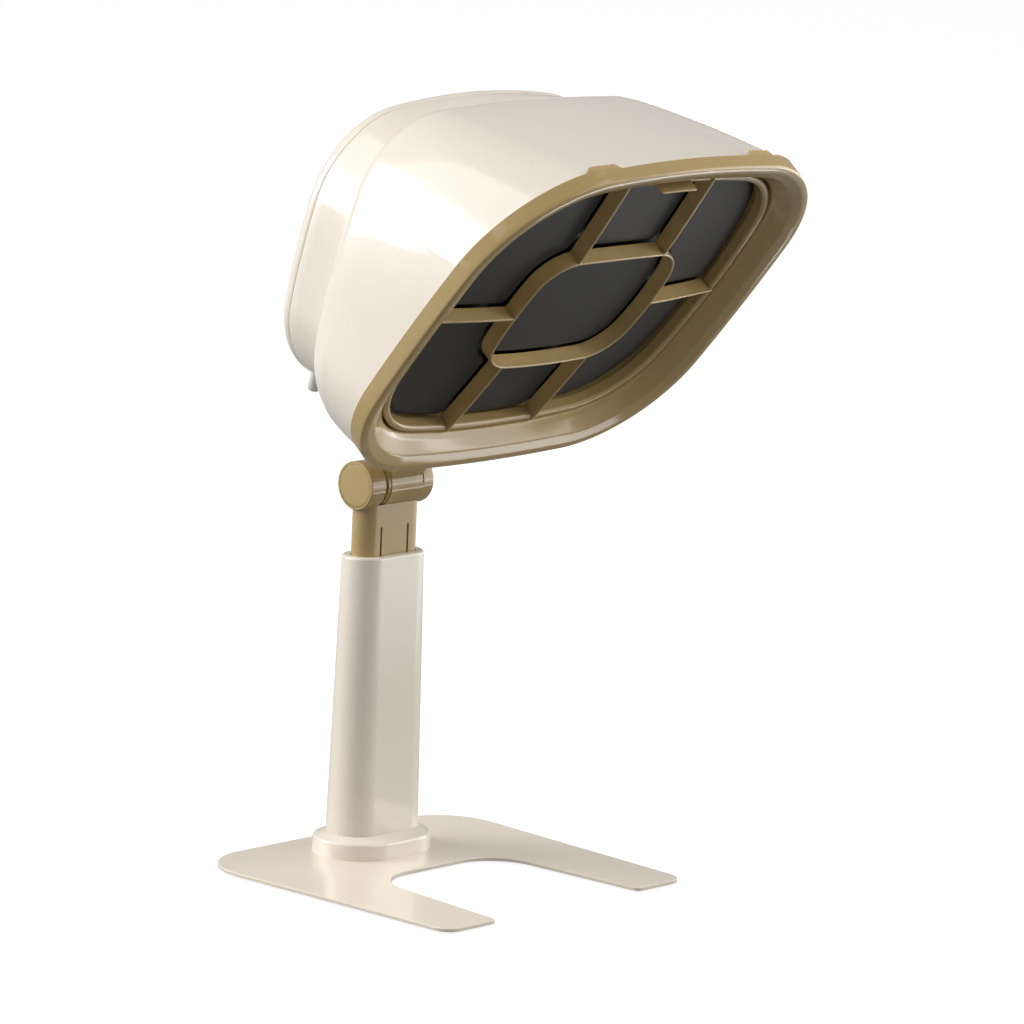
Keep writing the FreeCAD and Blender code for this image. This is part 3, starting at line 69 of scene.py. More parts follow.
# Large soft boxes hang round the table: two on the left that leave the broad white sheen
# on the gloss shell, one above, and one in front on the right that lights the bevels.
def soft_box(name, at, aim, width, height, power):
    """A rectangular lamp hung at one place and aimed at another."""
    lamp = bpy.data.lights.new(name, "AREA")
    lamp.shape = "RECTANGLE"
    lamp.size = width
    lamp.size_y = height
    lamp.energy = power
    holder = bpy.data.objects.new(name, lamp)
    holder.location = at
    holder.rotation_euler = (Vector(aim) - Vector(at)).to_track_quat("-Z", "Y").to_euler()
    bpy.context.scene.collection.objects.link(holder)
    return holder


soft_box("left_box", (-2.1, 2.3, 1.35), (0, -0.05, 0.30), 2.2, 1.9, 92)
soft_box("key_box", (-1.5, 0.7, 2.3), (0, -0.10, 0.35), 2.0, 2.0, 28)
soft_box("top_box", (0.7, -2.0, 2.4), (0, -0.1, 0.3), 2.2, 2.2, 32)
soft_box("right_box", (2.86, -1.52, 0.8), (0, -0.1, 0.3), 2.6, 2.6, 84)


# A small white card lies low down on the right, leaning away from the column. Only gloss
# surfaces see it, as the bright strip along the foot of the front ring's bevel.
low_card = soft_box("low_card", (0.455, -0.355, 0.03), (0.455, -0.655, 0.984), 0.34, 0.15, 1.0)
low_card.visible_diffuse = False


# The white room: an even grey light all round that the camera itself sees as white.
world = bpy.data.worlds.new("white_room")
world.use_nodes = True
bpy.context.scene.world = world
room = world.node_tree
room.nodes.clear()
room_out = room.nodes.new("ShaderNodeOutputWorld")
room_light = room.nodes.new("ShaderNodeBackground")
backdrop = room.nodes.new("ShaderNodeBackground")
for background, strength in ((room_light, 0.30), (backdrop, 1.0)):
    background.inputs["Color"].default_value = (1, 1, 1, 1)
    background.inputs["Strength"].default_value = strength
seen = room.nodes.new("ShaderNodeLightPath")
choose = room.nodes.new("ShaderNodeMixShader")
room.links.new(seen.outputs["Is Camera Ray"], choose.inputs[0])
room.links.new(room_light.outputs[0], choose.inputs[1])
room.links.new(backdrop.outputs[0], choose.inputs[2])
room.links.new(choose.outputs[0], room_out.inputs["Surface"])


# The pale table top, which the camera sees almost white and which keeps a faint shadow.
# Gloss surfaces see a painted reflection in it: a glow that is dark under the hood and brighter
# towards the box on the right.
def mapped(tree, value, low, high, from_low=0.0, from_high=1.0):
    """A value stretched to another range, either end a number or a socket."""
    stretch = tree.nodes.new("ShaderNodeMapRange")
    stretch.inputs["From Min"].default_value = from_low
    stretch.inputs["From Max"].default_value = from_high
    tree.links.new(value, stretch.inputs["Value"])
    for label, end in (("To Min", low), ("To Max", high)):
        if isinstance(end, (int, float)):
            stretch.inputs[label].default_value = end
        else:
            tree.links.new(end, stretch.inputs[label])
    return stretch.outputs["Result"]


def calculated(tree, operation, first, second):
    """Two numbers or sockets put together by an operation."""
    sum_node = tree.nodes.new("ShaderNodeMath")
    sum_node.operation = operation
    for i, value in enumerate((first, second)):
        if isinstance(value, (int, float)):
            sum_node.inputs[i].default_value = value
        else:
            tree.links.new(value, sum_node.inputs[i])
    return sum_node.outputs[0]


def along(tree, place, direction):
    """How far a place lies along a direction."""
    measure = tree.nodes.new("ShaderNodeVectorMath")
    measure.operation = "DOT_PRODUCT"
    measure.inputs[1].default_value = direction
    tree.links.new(place, measure.inputs[0])
    return measure.outputs["Value"]


table_mesh = bpy.data.meshes.new("table_top")
table_mesh.from_pydata([(-30, -30, 0), (30, -30, 0), (30, 30, 0), (-30, 30, 0)], [],
                       [(0, 1, 2, 3)])
table = bpy.data.objects.new("table_top", table_mesh)
bpy.context.scene.collection.objects.link(table)
pale = bpy.data.materials.new("pale_table")
pale.use_nodes = True
pale_tree = pale.node_tree
pale_tree.nodes.clear()
pale_out = pale_tree.nodes.new("ShaderNodeOutputMaterial")
matt = pale_tree.nodes.new("ShaderNodeBsdfDiffuse")
matt.inputs["Color"].default_value = (0.25, 0.25, 0.25, 1)
glow = pale_tree.nodes.new("ShaderNodeEmission")
glow.inputs["Color"].default_value = (1, 1, 1, 1)
ray = pale_tree.nodes.new("ShaderNodeLightPath").outputs
table_spot = pale_tree.nodes.new("ShaderNodeTexCoord").outputs["Object"]
how_far = pale_tree.nodes.new("ShaderNodeVectorMath")
how_far.operation = "LENGTH"
pale_tree.links.new(table_spot, how_far.inputs[0])
# Painted reflection: how strongly the table glows for gloss rays, weak near the hood and strong out
# to the right.
away_right = along(pale_tree, table_spot, (0.73, -0.68, 0.0))
lit_away = mapped(pale_tree, away_right, 0.0, 3.8, 0.64, 1.9)
beside = along(pale_tree, table_spot, (0.68, 0.73, 0.0))
lit_side = mapped(pale_tree, beside, 0.0, 1.0, -0.55, -0.25)
lit_round = mapped(pale_tree, how_far.outputs["Value"], 0.0, 0.5, 0.8, 1.3)
all_lit = calculated(pale_tree, "ADD", calculated(pale_tree, "MULTIPLY", lit_away, lit_side),
                     lit_round)
painted_reflection_glow = calculated(pale_tree, "MULTIPLY", ray["Is Glossy Ray"], all_lit)
for_camera = calculated(pale_tree, "MULTIPLY", ray["Is Camera Ray"], 0.90)
pale_tree.links.new(calculated(pale_tree, "ADD", for_camera, painted_reflection_glow), glow.inputs["Strength"])
both = pale_tree.nodes.new("ShaderNodeAddShader")
pale_tree.links.new(matt.outputs[0], both.inputs[0])
pale_tree.links.new(glow.outputs[0], both.inputs[1])
pale_tree.links.new(both.outputs[0], pale_out.inputs["Surface"])
table_mesh.materials.append(pale)


# The foot is a two-pronged plate of sheet steel with eased edges and a cream powder coat,
# which lies on five rubber pads. Two countersunk screws hold the column from below.
def effect(name, inputs, outputs):
    """An empty shared effect with named inputs and outputs, and its two end nodes."""
    tree = bpy.data.node_groups.new(name, "ShaderNodeTree")
    for label, kind, value in inputs:
        socket = tree.interface.new_socket(label, in_out="INPUT", socket_type=kind)
        socket.default_value = value
    for label, kind in outputs:
        tree.interface.new_socket(label, in_out="OUTPUT", socket_type=kind)
    return tree, tree.nodes.new("NodeGroupInput"), tree.nodes.new("NodeGroupOutput")


def noise(tree, place, scale, detail=2.0, roughness=0.5):
    """Noise over a place, at a scale that is a number or a socket."""
    cloud = tree.nodes.new("ShaderNodeTexNoise")
    cloud.inputs["Detail"].default_value = detail
    cloud.inputs["Roughness"].default_value = roughness
    if isinstance(scale, (int, float)):
        cloud.inputs["Scale"].default_value = scale
    else:
        tree.links.new(scale, cloud.inputs["Scale"])
    tree.links.new(place, cloud.inputs["Vector"])
    return cloud.outputs["Fac"]


def toned(tree, colour, amount):
    """A colour made lighter or darker by an amount round one."""
    scale = tree.nodes.new("ShaderNodeVectorMath")
    scale.operation = "SCALE"
    tree.links.new(colour, scale.inputs[0])
    tree.links.new(amount, scale.inputs["Scale"])
    return scale.outputs[0]


# Slow drift of the colour, patches of uneven gloss with faint smears, and a fine skin.
skin, skin_in, skin_out = effect(
    "moulded_skin",
    [("Colour", "NodeSocketColor", (0.8, 0.8, 0.8, 1)), ("Drift", "NodeSocketFloat", 0.05),
     ("Gloss", "NodeSocketFloat", 0.3), ("Smears", "NodeSocketFloat", 0.2),
     ("Grain Scale", "NodeSocketFloat", 900.0)],
    [("Colour", "NodeSocketColor"), ("Roughness", "NodeSocketFloat"),
     ("Height", "NodeSocketFloat")])
spot = skin.nodes.new("ShaderNodeTexCoord").outputs["Object"]
half_drift = calculated(skin, "MULTIPLY", skin_in.outputs["Drift"], 0.5)
drift = mapped(skin, noise(skin, spot, 11.0, 3.0),
               calculated(skin, "SUBTRACT", 1.0, half_drift),
               calculated(skin, "ADD", 1.0, half_drift), 0.3, 0.7)
speck = mapped(skin, noise(skin, spot, 420.0, 1.0), 0.985, 1.015, 0.3, 0.7)
skin.links.new(toned(skin, skin_in.outputs["Colour"], calculated(skin, "MULTIPLY", drift, speck)),
               skin_out.inputs["Colour"])
smear = mapped(skin, noise(skin, spot, 26.0, 4.0, 0.55), -0.5, 0.5, 0.2, 0.8)
smear = calculated(skin, "MULTIPLY", smear, skin_in.outputs["Smears"])
smear = calculated(skin, "MULTIPLY", smear, skin_in.outputs["Gloss"])
skin.links.new(calculated(skin, "ADD", skin_in.outputs["Gloss"], smear),
               skin_out.inputs["Roughness"])
coarse = noise(skin, spot, calculated(skin, "MULTIPLY", skin_in.outputs["Grain Scale"], 0.31), 2.0)
fine = noise(skin, spot, skin_in.outputs["Grain Scale"], 2.0)
skin.links.new(calculated(skin, "ADD", coarse, fine), skin_out.inputs["Height"])


# Painted highlight: a lighter colour along edges, by how sharply the surface bends outwards, in
# place of the bright lines that light leaves on rounded edges.
edge_highlight, edge_highlight_in, edge_highlight_out = effect(
    "painted_edge_highlight",
    [("Colour", "NodeSocketColor", (0.8, 0.8, 0.8, 1)), ("Lighter", "NodeSocketFloat", 0.3)],
    [("Colour", "NodeSocketColor")])
edge_highlight_mask = mapped(edge_highlight, edge_highlight.nodes.new("ShaderNodeNewGeometry").outputs["Pointiness"],
                   0.0, 1.0, 0.515, 0.60)
edge_highlight_spot = edge_highlight.nodes.new("ShaderNodeTexCoord").outputs["Object"]
uneven = mapped(edge_highlight, noise(edge_highlight, edge_highlight_spot, 60.0), 0.6, 1.0, 0.35, 0.65)
edge_highlight_mask = calculated(edge_highlight, "MULTIPLY", edge_highlight_mask, uneven)
lighter = calculated(edge_highlight, "MULTIPLY", edge_highlight_mask, edge_highlight_in.outputs["Lighter"])
lighter = calculated(edge_highlight, "ADD", 1.0, lighter)
edge_highlight.links.new(toned(edge_highlight, edge_highlight_in.outputs["Colour"], lighter), edge_highlight_out.inputs["Colour"])


def grouped(tree, effect_tree, **values):
    """A shared effect placed in a material, with its inputs set by name."""
    box = tree.nodes.new("ShaderNodeGroup")
    box.node_tree = effect_tree
    for label, value in values.items():
        box.inputs[label.replace("_", " ")].default_value = value
    return box


def finished(name, effect_tree, strength, distance, **values):
    """A material with the colour, roughness and fine height of a shared effect."""
    material = bpy.data.materials.new(name)
    material.use_nodes = True
    tree = material.node_tree
    surface = tree.nodes["Principled BSDF"]
    box = grouped(tree, effect_tree, **values)
    tree.links.new(box.outputs["Colour"], surface.inputs["Base Color"])
    tree.links.new(box.outputs["Roughness"], surface.inputs["Roughness"])
    raised = tree.nodes.new("ShaderNodeBump")
    raised.inputs["Strength"].default_value = strength
    raised.inputs["Distance"].default_value = distance
    tree.links.new(box.outputs["Height"], raised.inputs["Height"])
    tree.links.new(raised.outputs["Normal"], surface.inputs["Normal"])
    return material, surface, box


def moulded(name, colour, gloss, coat=0.0, drift=0.05, smears=0.15, grain=900.0, depth=0.03,
            coat_gloss=0.06, edges=0.0, shine=0.5):
    """A moulded or painted finish made with the shared skin."""
    material, surface, box = finished(name, skin, depth, 0.0004, Colour=(*colour, 1), Drift=drift,
                                      Gloss=gloss, Smears=smears, Grain_Scale=grain)
    surface.inputs["Specular IOR Level"].default_value = shine
    surface.inputs["Coat Weight"].default_value = coat
    surface.inputs["Coat Roughness"].default_value = coat_gloss
    # With edges set, sharp edges get a painted highlight, a lighter colour where the surface bends.
    if edges:
        tree = material.node_tree
        highlit = grouped(tree, edge_highlight, Lighter=edges)
        tree.links.new(box.outputs["Colour"], highlit.inputs["Colour"])
        tree.links.new(highlit.outputs["Colour"], surface.inputs["Base Color"])
    return material


def dress(material, *names):
    """Give CAD nodes a finish."""
    for name in names:
        node[name].data.materials.clear()
        node[name].data.materials.append(material)


powder_coat = moulded("cream_powder_coat", (0.79, 0.70, 0.59), 0.30, coat=0.35, drift=0.03,
                      grain=620.0, depth=0.10, coat_gloss=0.10)
rubber = moulded("pad_rubber", (0.035, 0.034, 0.033), 0.75, grain=1400.0, depth=0.25)
dress(powder_coat, "base_plate")
dress(rubber, "foot_pads", "centre_pad")


# Turned and drawn steel: the screws, the guide tube, the shaft and the motor's bracket
# keep fine lines from the tool, with a dull film in the hollows.
brushed, brushed_in, brushed_out = effect(
    "brushed_lines",
    [("Colour", "NodeSocketColor", (0.6, 0.6, 0.6, 1)), ("Gloss", "NodeSocketFloat", 0.3),
     ("Stretch", "NodeSocketVector", (60.0, 1500.0, 1500.0))],
    [("Colour", "NodeSocketColor"), ("Roughness", "NodeSocketFloat"),
     ("Height", "NodeSocketFloat")])
steel_spot = brushed.nodes.new("ShaderNodeTexCoord").outputs["Object"]
pulled = brushed.nodes.new("ShaderNodeVectorMath")
pulled.operation = "MULTIPLY"
brushed.links.new(steel_spot, pulled.inputs[0])
brushed.links.new(brushed_in.outputs["Stretch"], pulled.inputs[1])
lines = noise(brushed, pulled.outputs[0], 1.0, 3.0, 0.6)
film = noise(brushed, steel_spot, 55.0, 3.0)
brushed.links.new(toned(brushed, brushed_in.outputs["Colour"],
                        calculated(brushed, "MULTIPLY", mapped(brushed, lines, 0.86, 1.08),
                                   mapped(brushed, film, 0.85, 1.1, 0.3, 0.7))),
                  brushed_out.inputs["Colour"])
brushed.links.new(calculated(brushed, "MULTIPLY", brushed_in.outputs["Gloss"],
                             mapped(brushed, film, 0.75, 1.3, 0.3, 0.7)),
                  brushed_out.inputs["Roughness"])
brushed.links.new(lines, brushed_out.inputs["Height"])


def metal(name, colour, gloss, stretch):
    """A bare metal made with the shared brushed lines."""
    material, surface, _ = finished(name, brushed, 0.12, 0.0002, Colour=(*colour, 1), Gloss=gloss,
                                    Stretch=stretch)
    surface.inputs["Metallic"].default_value = 1.0
    return material


turned_steel = metal("turned_steel", (0.58, 0.58, 0.57), 0.30, (60.0, 1500.0, 1500.0))
drawn_steel = metal("drawn_steel", (0.55, 0.55, 0.54), 0.34, (1300.0, 1300.0, 40.0))
dress(turned_steel, "base_screws", "tilt_shaft", "friction_washers", "arm_screws")
dress(drawn_steel, "guide_tube", "motor_bracket")


# The column is a glossy cream moulding that tapers upwards and stands in a stepped collar.
# Inside are its grey nylon foot, the bush at its mouth and the shoe of the mast.
gloss_cream = moulded("gloss_cream", (0.80, 0.725, 0.625), 0.28, coat=0.5, drift=0.02,
                      smears=0.0, grain=700.0, depth=0.015, coat_gloss=0.04)
grey_nylon = moulded("grey_nylon", (0.30, 0.285, 0.255), 0.48, grain=1100.0, depth=0.10)
dress(gloss_cream, "column_sleeve", "base_collar")
dress(grey_nylon, "column_foot", "guide_bush", "mast_shoe")


# The mast, the hinge and the hood's arm are mouldings in a glossy bronze lacquer. The mast
# slides in the column, and two fine slots in its flat front guide it.
lacquer = (0.415, 0.293, 0.121)
lacquer_skin = dict(gloss=0.45, coat=0.68, drift=0.04, smears=0.0, grain=1500.0, depth=0.02,
                    coat_gloss=0.10, shine=0.15)
bronze = moulded("bronze_lacquer", lacquer, **lacquer_skin)
# The same bronze with a painted highlight, lighter along its sharp edges.
highlit_bronze = moulded("highlit_bronze", lacquer, edges=0.55, **lacquer_skin)
dress(bronze, "mast_tube", "hood_arm")


# A dished cap closes each end of the hinge: a lacquered disc with a rolled rim and a fine
# step round its face, pressed in flush with the barrel.
def meshed(name, points, faces, material, smooth_angle=35.0):
    """An object of a mesh in metres, smooth except at its sharp edges."""
    mesh = bpy.data.meshes.new(name)
    mesh.from_pydata([tuple(p) for p in points], [], faces)
    mesh.validate()
    tidy = bmesh.new()
    tidy.from_mesh(mesh)
    bmesh.ops.recalc_face_normals(tidy, faces=tidy.faces)
    tidy.to_mesh(mesh)
    tidy.free()
    mesh.shade_smooth()
    mesh.set_sharp_from_angle(angle=math.radians(smooth_angle))
    mesh.materials.append(material)
    obj = bpy.data.objects.new(name, mesh)
    bpy.context.scene.collection.objects.link(obj)
    return obj


def ring_faces(count, rings, closed=True):
    """Quads between successive rings of points, and caps over open ends."""
    faces = []
    for i in range(rings if closed else rings - 1):
        a = i * count
        b = (i + 1) % rings * count
        faces += [(a + j, a + (j + 1) % count, b + (j + 1) % count, b + j) for j in range(count)]
    if not closed:
        faces.append(tuple(range(count - 1, -1, -1)))
        faces.append(tuple((rings - 1) * count + j for j in range(count)))
    return faces


def turned(profile, count=96):
    """Rings round the X axis from points of distance along it and radius."""
    angles = np.arange(count) * 2 * math.pi / count
    return [np.stack([np.full(count, x), r * np.cos(angles), r * np.sin(angles)], 1)
            for x, r in profile]


def stand_for(obj, body, slot, *names):
    """Let a modelled piece ride on a body, in place of any CAD nodes that are named."""
    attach(obj, body)
    if names:
        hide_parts(*names)


rim = 0.0004


for cap_name, side in (("hinge_cap_left", -1), ("hinge_cap_right", 1)):
    low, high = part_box(cap_name)
    radius = (high.z - low.z) / 2
    centre = Vector((0, (low.y + high.y) / 2, (low.z + high.z) / 2))
    outer = high.x if side > 0 else -low.x
    inner = low.x if side > 0 else -high.x
    profile = [(inner, 0.001), (inner, radius + rim / 2)]
    for k in range(5):
        a = math.radians(90 * k / 4)
        profile.append((outer - rim + rim * math.sin(a), radius - rim / 2 + rim * math.cos(a)))
    profile += [(outer, radius * 0.8), (outer, radius * 0.5), (outer, radius * 0.2), (outer, 0.001)]
    rings = turned([(side * x, r) for x, r in profile])
    points = np.concatenate(rings) + np.array(centre)
    cap = meshed(cap_name + "_disc", points, ring_faces(96, len(rings), False), bronze, 50)
    stand_for(cap, "mast", "bronze_plastic", cap_name)


# The barrel is a bronze moulding, cut open above for the hood's arm. A groove parts it from
# the mast's knuckle, and the arm's hub fills the opening almost flush with it.
def combined(first, others, operation):
    """One closed skin of a piece and others that are joined to it or cut from it."""
    for other in others:
        join = first.modifiers.new("join", "BOOLEAN")
        join.operation = operation
        join.solver = "EXACT"
        join.object = other
    view = bpy.context.evaluated_depsgraph_get()
    whole = bpy.data.meshes.new_from_object(first.evaluated_get(view))
    first.modifiers.clear()
    first.data = whole
    for other in others:
        bpy.data.objects.remove(other)
    whole.shade_smooth()
    whole.set_sharp_from_angle(angle=math.radians(40))
    return first


hinge_at = np.array([0, 0, 0.2648])
left_end, right_end = -0.0159, 0.0302
hub_left, hub_right = -0.0108, 0.0204
bore, groove, collar, drum = 0.0051, 0.0144, 0.0162, 0.0170
profile = [(left_end, bore), (left_end, 0.0142), (left_end + 0.0003, groove), (-0.0134, groove),
           (-0.0134, 0.0159), (-0.0131, collar), (-0.0112, collar), (-0.0110, 0.0164),
           (-0.0109, drum), (0.0, drum), (0.0100, drum), (hub_right, drum), (0.0290, drum),
           (0.0297, 0.01685), (0.0301, 0.0165), (right_end, 0.0160), (right_end, 0.0150),
           (0.0280, 0.0150), (0.0280, bore)]
rings = turned(profile, 128)
barrel = meshed("hinge_barrel_body", np.concatenate(rings) + hinge_at,
                ring_faces(128, len(rings)), highlit_bronze, 40)
window = [(0.01665, 181.5 + 195.5 * k / 48) for k in range(49)]
window += [(0.0240, 17 + 164.5 * k / 40) for k in range(41)]
window_flat = [(r * math.cos(math.radians(a)), r * math.sin(math.radians(a))) for r, a in window]
cutter_rings = [np.array([(x, y, z) for y, z in window_flat]) for x in (hub_left, hub_right)]
cutter = meshed("window", np.concatenate(cutter_rings) + hinge_at,
                ring_faces(len(window), 2, False), highlit_bronze, 40)
barrel = combined(barrel, [cutter], "DIFFERENCE")
stand_for(barrel, "mast", "bronze_plastic", "hinge_barrel")
sleeve_radius, sleeve_bore = 0.0165, 0.0131
sleeve_profile = [(hub_left + 0.0002, sleeve_bore), (hub_left + 0.0002, 0.0162),
                  (hub_left + 0.0005, sleeve_radius), (-0.0050, sleeve_radius),
                  (0.0050, sleeve_radius), (0.0120, sleeve_radius),
                  (hub_right - 0.0002, sleeve_radius), (hub_right - 0.00005, 0.0163),
                  (hub_right - 0.00005, sleeve_bore)]
rings = turned(sleeve_profile, 128)
sleeve = meshed("arm_hub_sleeve", np.concatenate(rings) + hinge_at,
                ring_faces(128, len(rings)), highlit_bronze, 40)
stand_for(sleeve, "hood", "bronze_plastic")


# A thin bronze strip lines the mast from inside, behind its front wall, so that the two
# slots show no hollow. It is a cut strip of the same moulding and slides with the mast.
lining_flat = np.array([(-0.0155, -0.0076), (0.0155, -0.0076), (0.0155, -0.0082),
                        (-0.0155, -0.0082)])
lining_rings = [np.column_stack([lining_flat, np.full(4, z)]) for z in (0.150, 0.195, 0.2375)]
lining = meshed("mast_lining", np.concatenate(lining_rings), ring_faces(4, 3, False),
                highlit_bronze)
stand_for(lining, "mast", "bronze_plastic")


# The hood's shell is one glossy cream moulding that opens from a rounded rear edge to the
# larger, tilted mouth, where a stepped spigot plugs into the front ring.
def quarter(spec, steps):
    """One quarter of a bowed outline: its side, corner and end arcs, without the last point."""
    half_w, half_h, side_bow, end_bow, corner = spec
    side_c = np.array([half_w - side_bow, 0.0])
    end_c = np.array([0.0, half_h - end_bow])
    gap = end_c - side_c
    dist = np.hypot(*gap)
    r1, r2 = side_bow - corner, end_bow - corner
    along = (dist * dist + r1 * r1 - r2 * r2) / (2 * dist)
    off = math.sqrt(r1 * r1 - along * along)
    e = gap / dist
    n = np.array([-e[1], e[0]])
    corner_c = max((side_c + e * along + n * off * s for s in (1, -1)), key=lambda p: p[0] + p[1])
    a1 = math.atan2(*(corner_c - side_c)[::-1])
    a2 = math.atan2(*(corner_c - end_c)[::-1])
    arcs = ((side_c, side_bow, 0.0, a1), (corner_c, corner, a1, a2),
            (end_c, end_bow, a2, math.pi / 2))
    points = []
    for (centre, radius, start, stop), count in zip(arcs, steps):
        for k in range(count):
            a = start + (stop - start) * k / count
            points.append(centre + radius * np.array([math.cos(a), math.sin(a)]))
    points.append(np.array([0.0, half_h]))
    return np.array(points)


def outline(spec, steps=(42, 64, 50)):
    """Points round a bowed outline in millimetres, as many at any size."""
    half_w, half_h, side_bow, top_bow, bottom_bow, top_corner, bottom_corner = spec
    upper = quarter((half_w, half_h, side_bow, top_bow, top_corner), steps)
    lower = quarter((half_w, half_h, side_bow, bottom_bow, bottom_corner), steps)
    return np.concatenate([upper[:-1], (upper * (-1, 1))[:0:-1],
                           (lower * (-1, -1))[:-1], (lower * (1, -1))[:0:-1]])


def inset(spec, amount):
    """The sizes of a bowed outline that lies inside another by an amount."""
    return tuple(value - amount for value in spec)


def outward(ring):
    """Unit outward directions of a closed ring of points, in its own plane."""
    run = np.roll(ring, -1, 0) - np.roll(ring, 1, 0)
    away = np.stack([run[:, 1], -run[:, 0]], 1)
    return away / np.linalg.norm(away, axis=1)[:, None]


def placed(flat, depth, place):
    """Points of a tilted frame, in millimetres, moved into the part's frame in metres."""
    y0, z0, lean = place
    s, c = math.sin(math.radians(lean)), math.cos(math.radians(lean))
    depth = np.broadcast_to(depth, len(flat))
    x, v = flat[:, 0], flat[:, 1]
    return np.stack([x, y0 - s * v - c * depth, z0 + c * v - s * depth], 1) / 1000


def conic(a, b, c, steps, weight):
    """Rings from a to c that round off the corner b between them."""
    rings = []
    for k in range(steps + 1):
        t = k / steps
        w = 2 * t * (1 - t) * weight
        rings.append(((1 - t) ** 2 * a + w * b + t * t * c) / ((1 - t) ** 2 + w + t * t))
    return rings


mouth_place = (-182.5, 403.4, 40.0)
rear_place = (-76.4, 433.1, 16.0)
mouth_edge = (158.3, 145.9, 1100.0, 665.0, 1080.0, 91.0, 86.0)
shell_rear = (147.0, 121.5, 552.0, 1500.0, 462.0, 67.0, 86.0)
housing_edge = (134.6, 104.4, 500.0, 480.0, 600.0, 69.0, 68.0)
shell_rear_drop = 3.5
shell_round = 20.0
ring_depth = 13.5


def ring_back():
    """Depth of the front ring's rear edge, which is shallower along its top."""
    x, v = outline(mouth_edge).T
    middle = np.clip((97 - np.abs(x)) / 24, 0, 1) * (v > 0)
    return -ring_depth + 2.3 * middle * middle * (3 - 2 * middle)


def shell_rings(front_inset, front_z, rear_inset, rear_z, drop, swell, radius):
    """Rings from the rear plane round its edge and forwards along the wall to the mouth."""
    rear_flat = outline(inset(shell_rear, rear_inset))
    shift = np.array([0.0, -shell_rear_drop])
    corner = placed(rear_flat + shift, rear_z, rear_place)
    away = outward(rear_flat)
    flat_in = placed(rear_flat - away + shift, rear_z, rear_place) - corner
    flat_in /= np.linalg.norm(flat_in, axis=1)[:, None]
    front_flat = outline(inset(mouth_edge, front_inset))
    front = placed(front_flat - (0, drop), front_z, mouth_place)
    run = front - corner
    length = np.linalg.norm(run, axis=1)[:, None]
    run = run / length
    bend = np.arccos(np.clip(-(flat_in * run).sum(1), -1, 1))
    reach = (radius * np.tan(bend / 2))[:, None] / 1000
    weight = np.cos(bend / 2)[:, None]
    start = corner + flat_in * reach
    stop = corner + run * reach
    rings = conic(start, corner, stop, 10, weight)
    bulge = placed(rear_flat + away + shift, rear_z, rear_place) - corner
    fuller = (swell + 3.2 * (2 * np.abs(away[:, 0]) * np.maximum(away[:, 1], 0)) ** 2)[:, None]
    for k in range(1, 15):
        t = k / 14
        body = stop * (1 - t) + front * t
        s = reach / length * (1 - t) + t
        rings.append(body + bulge * fuller * 4 * s * (1 - s))
    return rings


outer = shell_rings(1.1, ring_back(), 0.0, 0.0, 0.8, 1.2, shell_round)
inner = shell_rings(5.4, ring_back(), 2.5, 2.5, 2.5, 1.2, shell_round - 3.0)
opening = outline(inset(housing_edge, 10.5))
spigot = [placed(outline(inset(mouth_edge, i)), z, mouth_place)
          for i, z in ((2.8, ring_back()), (2.8, -2.9), (3.2, -2.5), (4.6, -2.5), (5.0, -2.9),
                       (5.0, ring_back()))]
rings = [placed(opening, 0.0, rear_place)] + outer + spigot + inner[::-1]
rings.append(placed(opening, 2.5, rear_place))
shell = meshed("hood_shell", np.concatenate(rings), ring_faces(len(opening), len(rings)),
               gloss_cream)
stand_for(shell, "hood", "cream_plastic", "main_shell")


# The rear housing is a cream ring behind the shell, flanged to it from inside, with an
# opening in its right-hand wall that the control panel fills.
def rear_band(amount, z):
    """A ring inside the housing's outline by an amount, at a depth."""
    return placed(outline(inset(housing_edge, amount)), z, rear_place)


def block(low, high, place):
    """A plain block between two corners of a tilted frame, in millimetres."""
    flat = np.array([(x, y) for x in (low[0], high[0]) for y in (low[1], high[1])])[[0, 2, 3, 1]]
    rings = [placed(flat, z, place) for z in (low[2], high[2])]
    return meshed("block", np.concatenate(rings), ring_faces(4, 2, False), gloss_cream)


rings = [rear_band(amount, z) for amount, z in (
    (10.5, 2.0), (0.0, 2.0), (0.0, -6.0), (0.0, -14.0), (0.0, -24.0), (0.0, -31.4),
    (0.15, -31.85), (0.6, -32.0), (2.5, -32.0), (2.5, -3.0), (10.5, -3.0))]
housing = meshed("rear_ring_housing", np.concatenate(rings),
                 ring_faces(len(rings[0]), len(rings)), gloss_cream, 30)
panel_hole = block((132.0, -38.0, -27.5), (150.0, 38.0, -6.5), rear_place)
combined(housing, [panel_hole], "DIFFERENCE")
stand_for(housing, "hood", "cream_plastic", "rear_housing")


# The rear cover is a dished cream moulding behind a fine seam, with eleven rounded intake
# slots and four countersunk screws at its corners. A woven filter pad lies behind the slots.
def circles(at, steps, place, count=32):
    """Circles round a spot of a tilted frame, from pairs of radius and depth."""
    a = np.arange(count) * 2 * math.pi / count
    circle = np.stack([np.cos(a), np.sin(a)], 1)
    return [placed(at + circle * radius, z, place) for radius, z in steps]


cover_front, cover_back, cover_round = -32.05, -42.4, 8.0
rings = [rear_band(amount, cover_back + z) for amount, z in (
    (64.0, 1.6), (36.0, 2.2), (14.0, 2.5), (7.0, 2.9), (3.4, 5.0))]
rings += [rear_band(amount, cover_front - z) for amount, z in (
    (2.5, 1.0), (2.5, 0.0), (0.6, 0.0), (0.15, 0.15), (0.0, 0.5))]
for k in range(9):
    a = math.radians(90 * k / 8)
    rings.append(rear_band(cover_round * (1 - math.cos(a)),
                           cover_back + cover_round * (1 - math.sin(a))))
for amount in (14.0, 24.0, 36.0, 50.0, 64.0):
    rings.append(rear_band(amount, cover_back - 0.9 * (1 - ((64.0 - amount) / 55.6) ** 2)))
cover = meshed("rear_intake_cover", np.concatenate(rings),
               ring_faces(len(rings[0]), len(rings), False), gloss_cream, 30)
intake_radius, slot_pitch, slot_half = 66.0, 10.5, 2.0
cuts = []
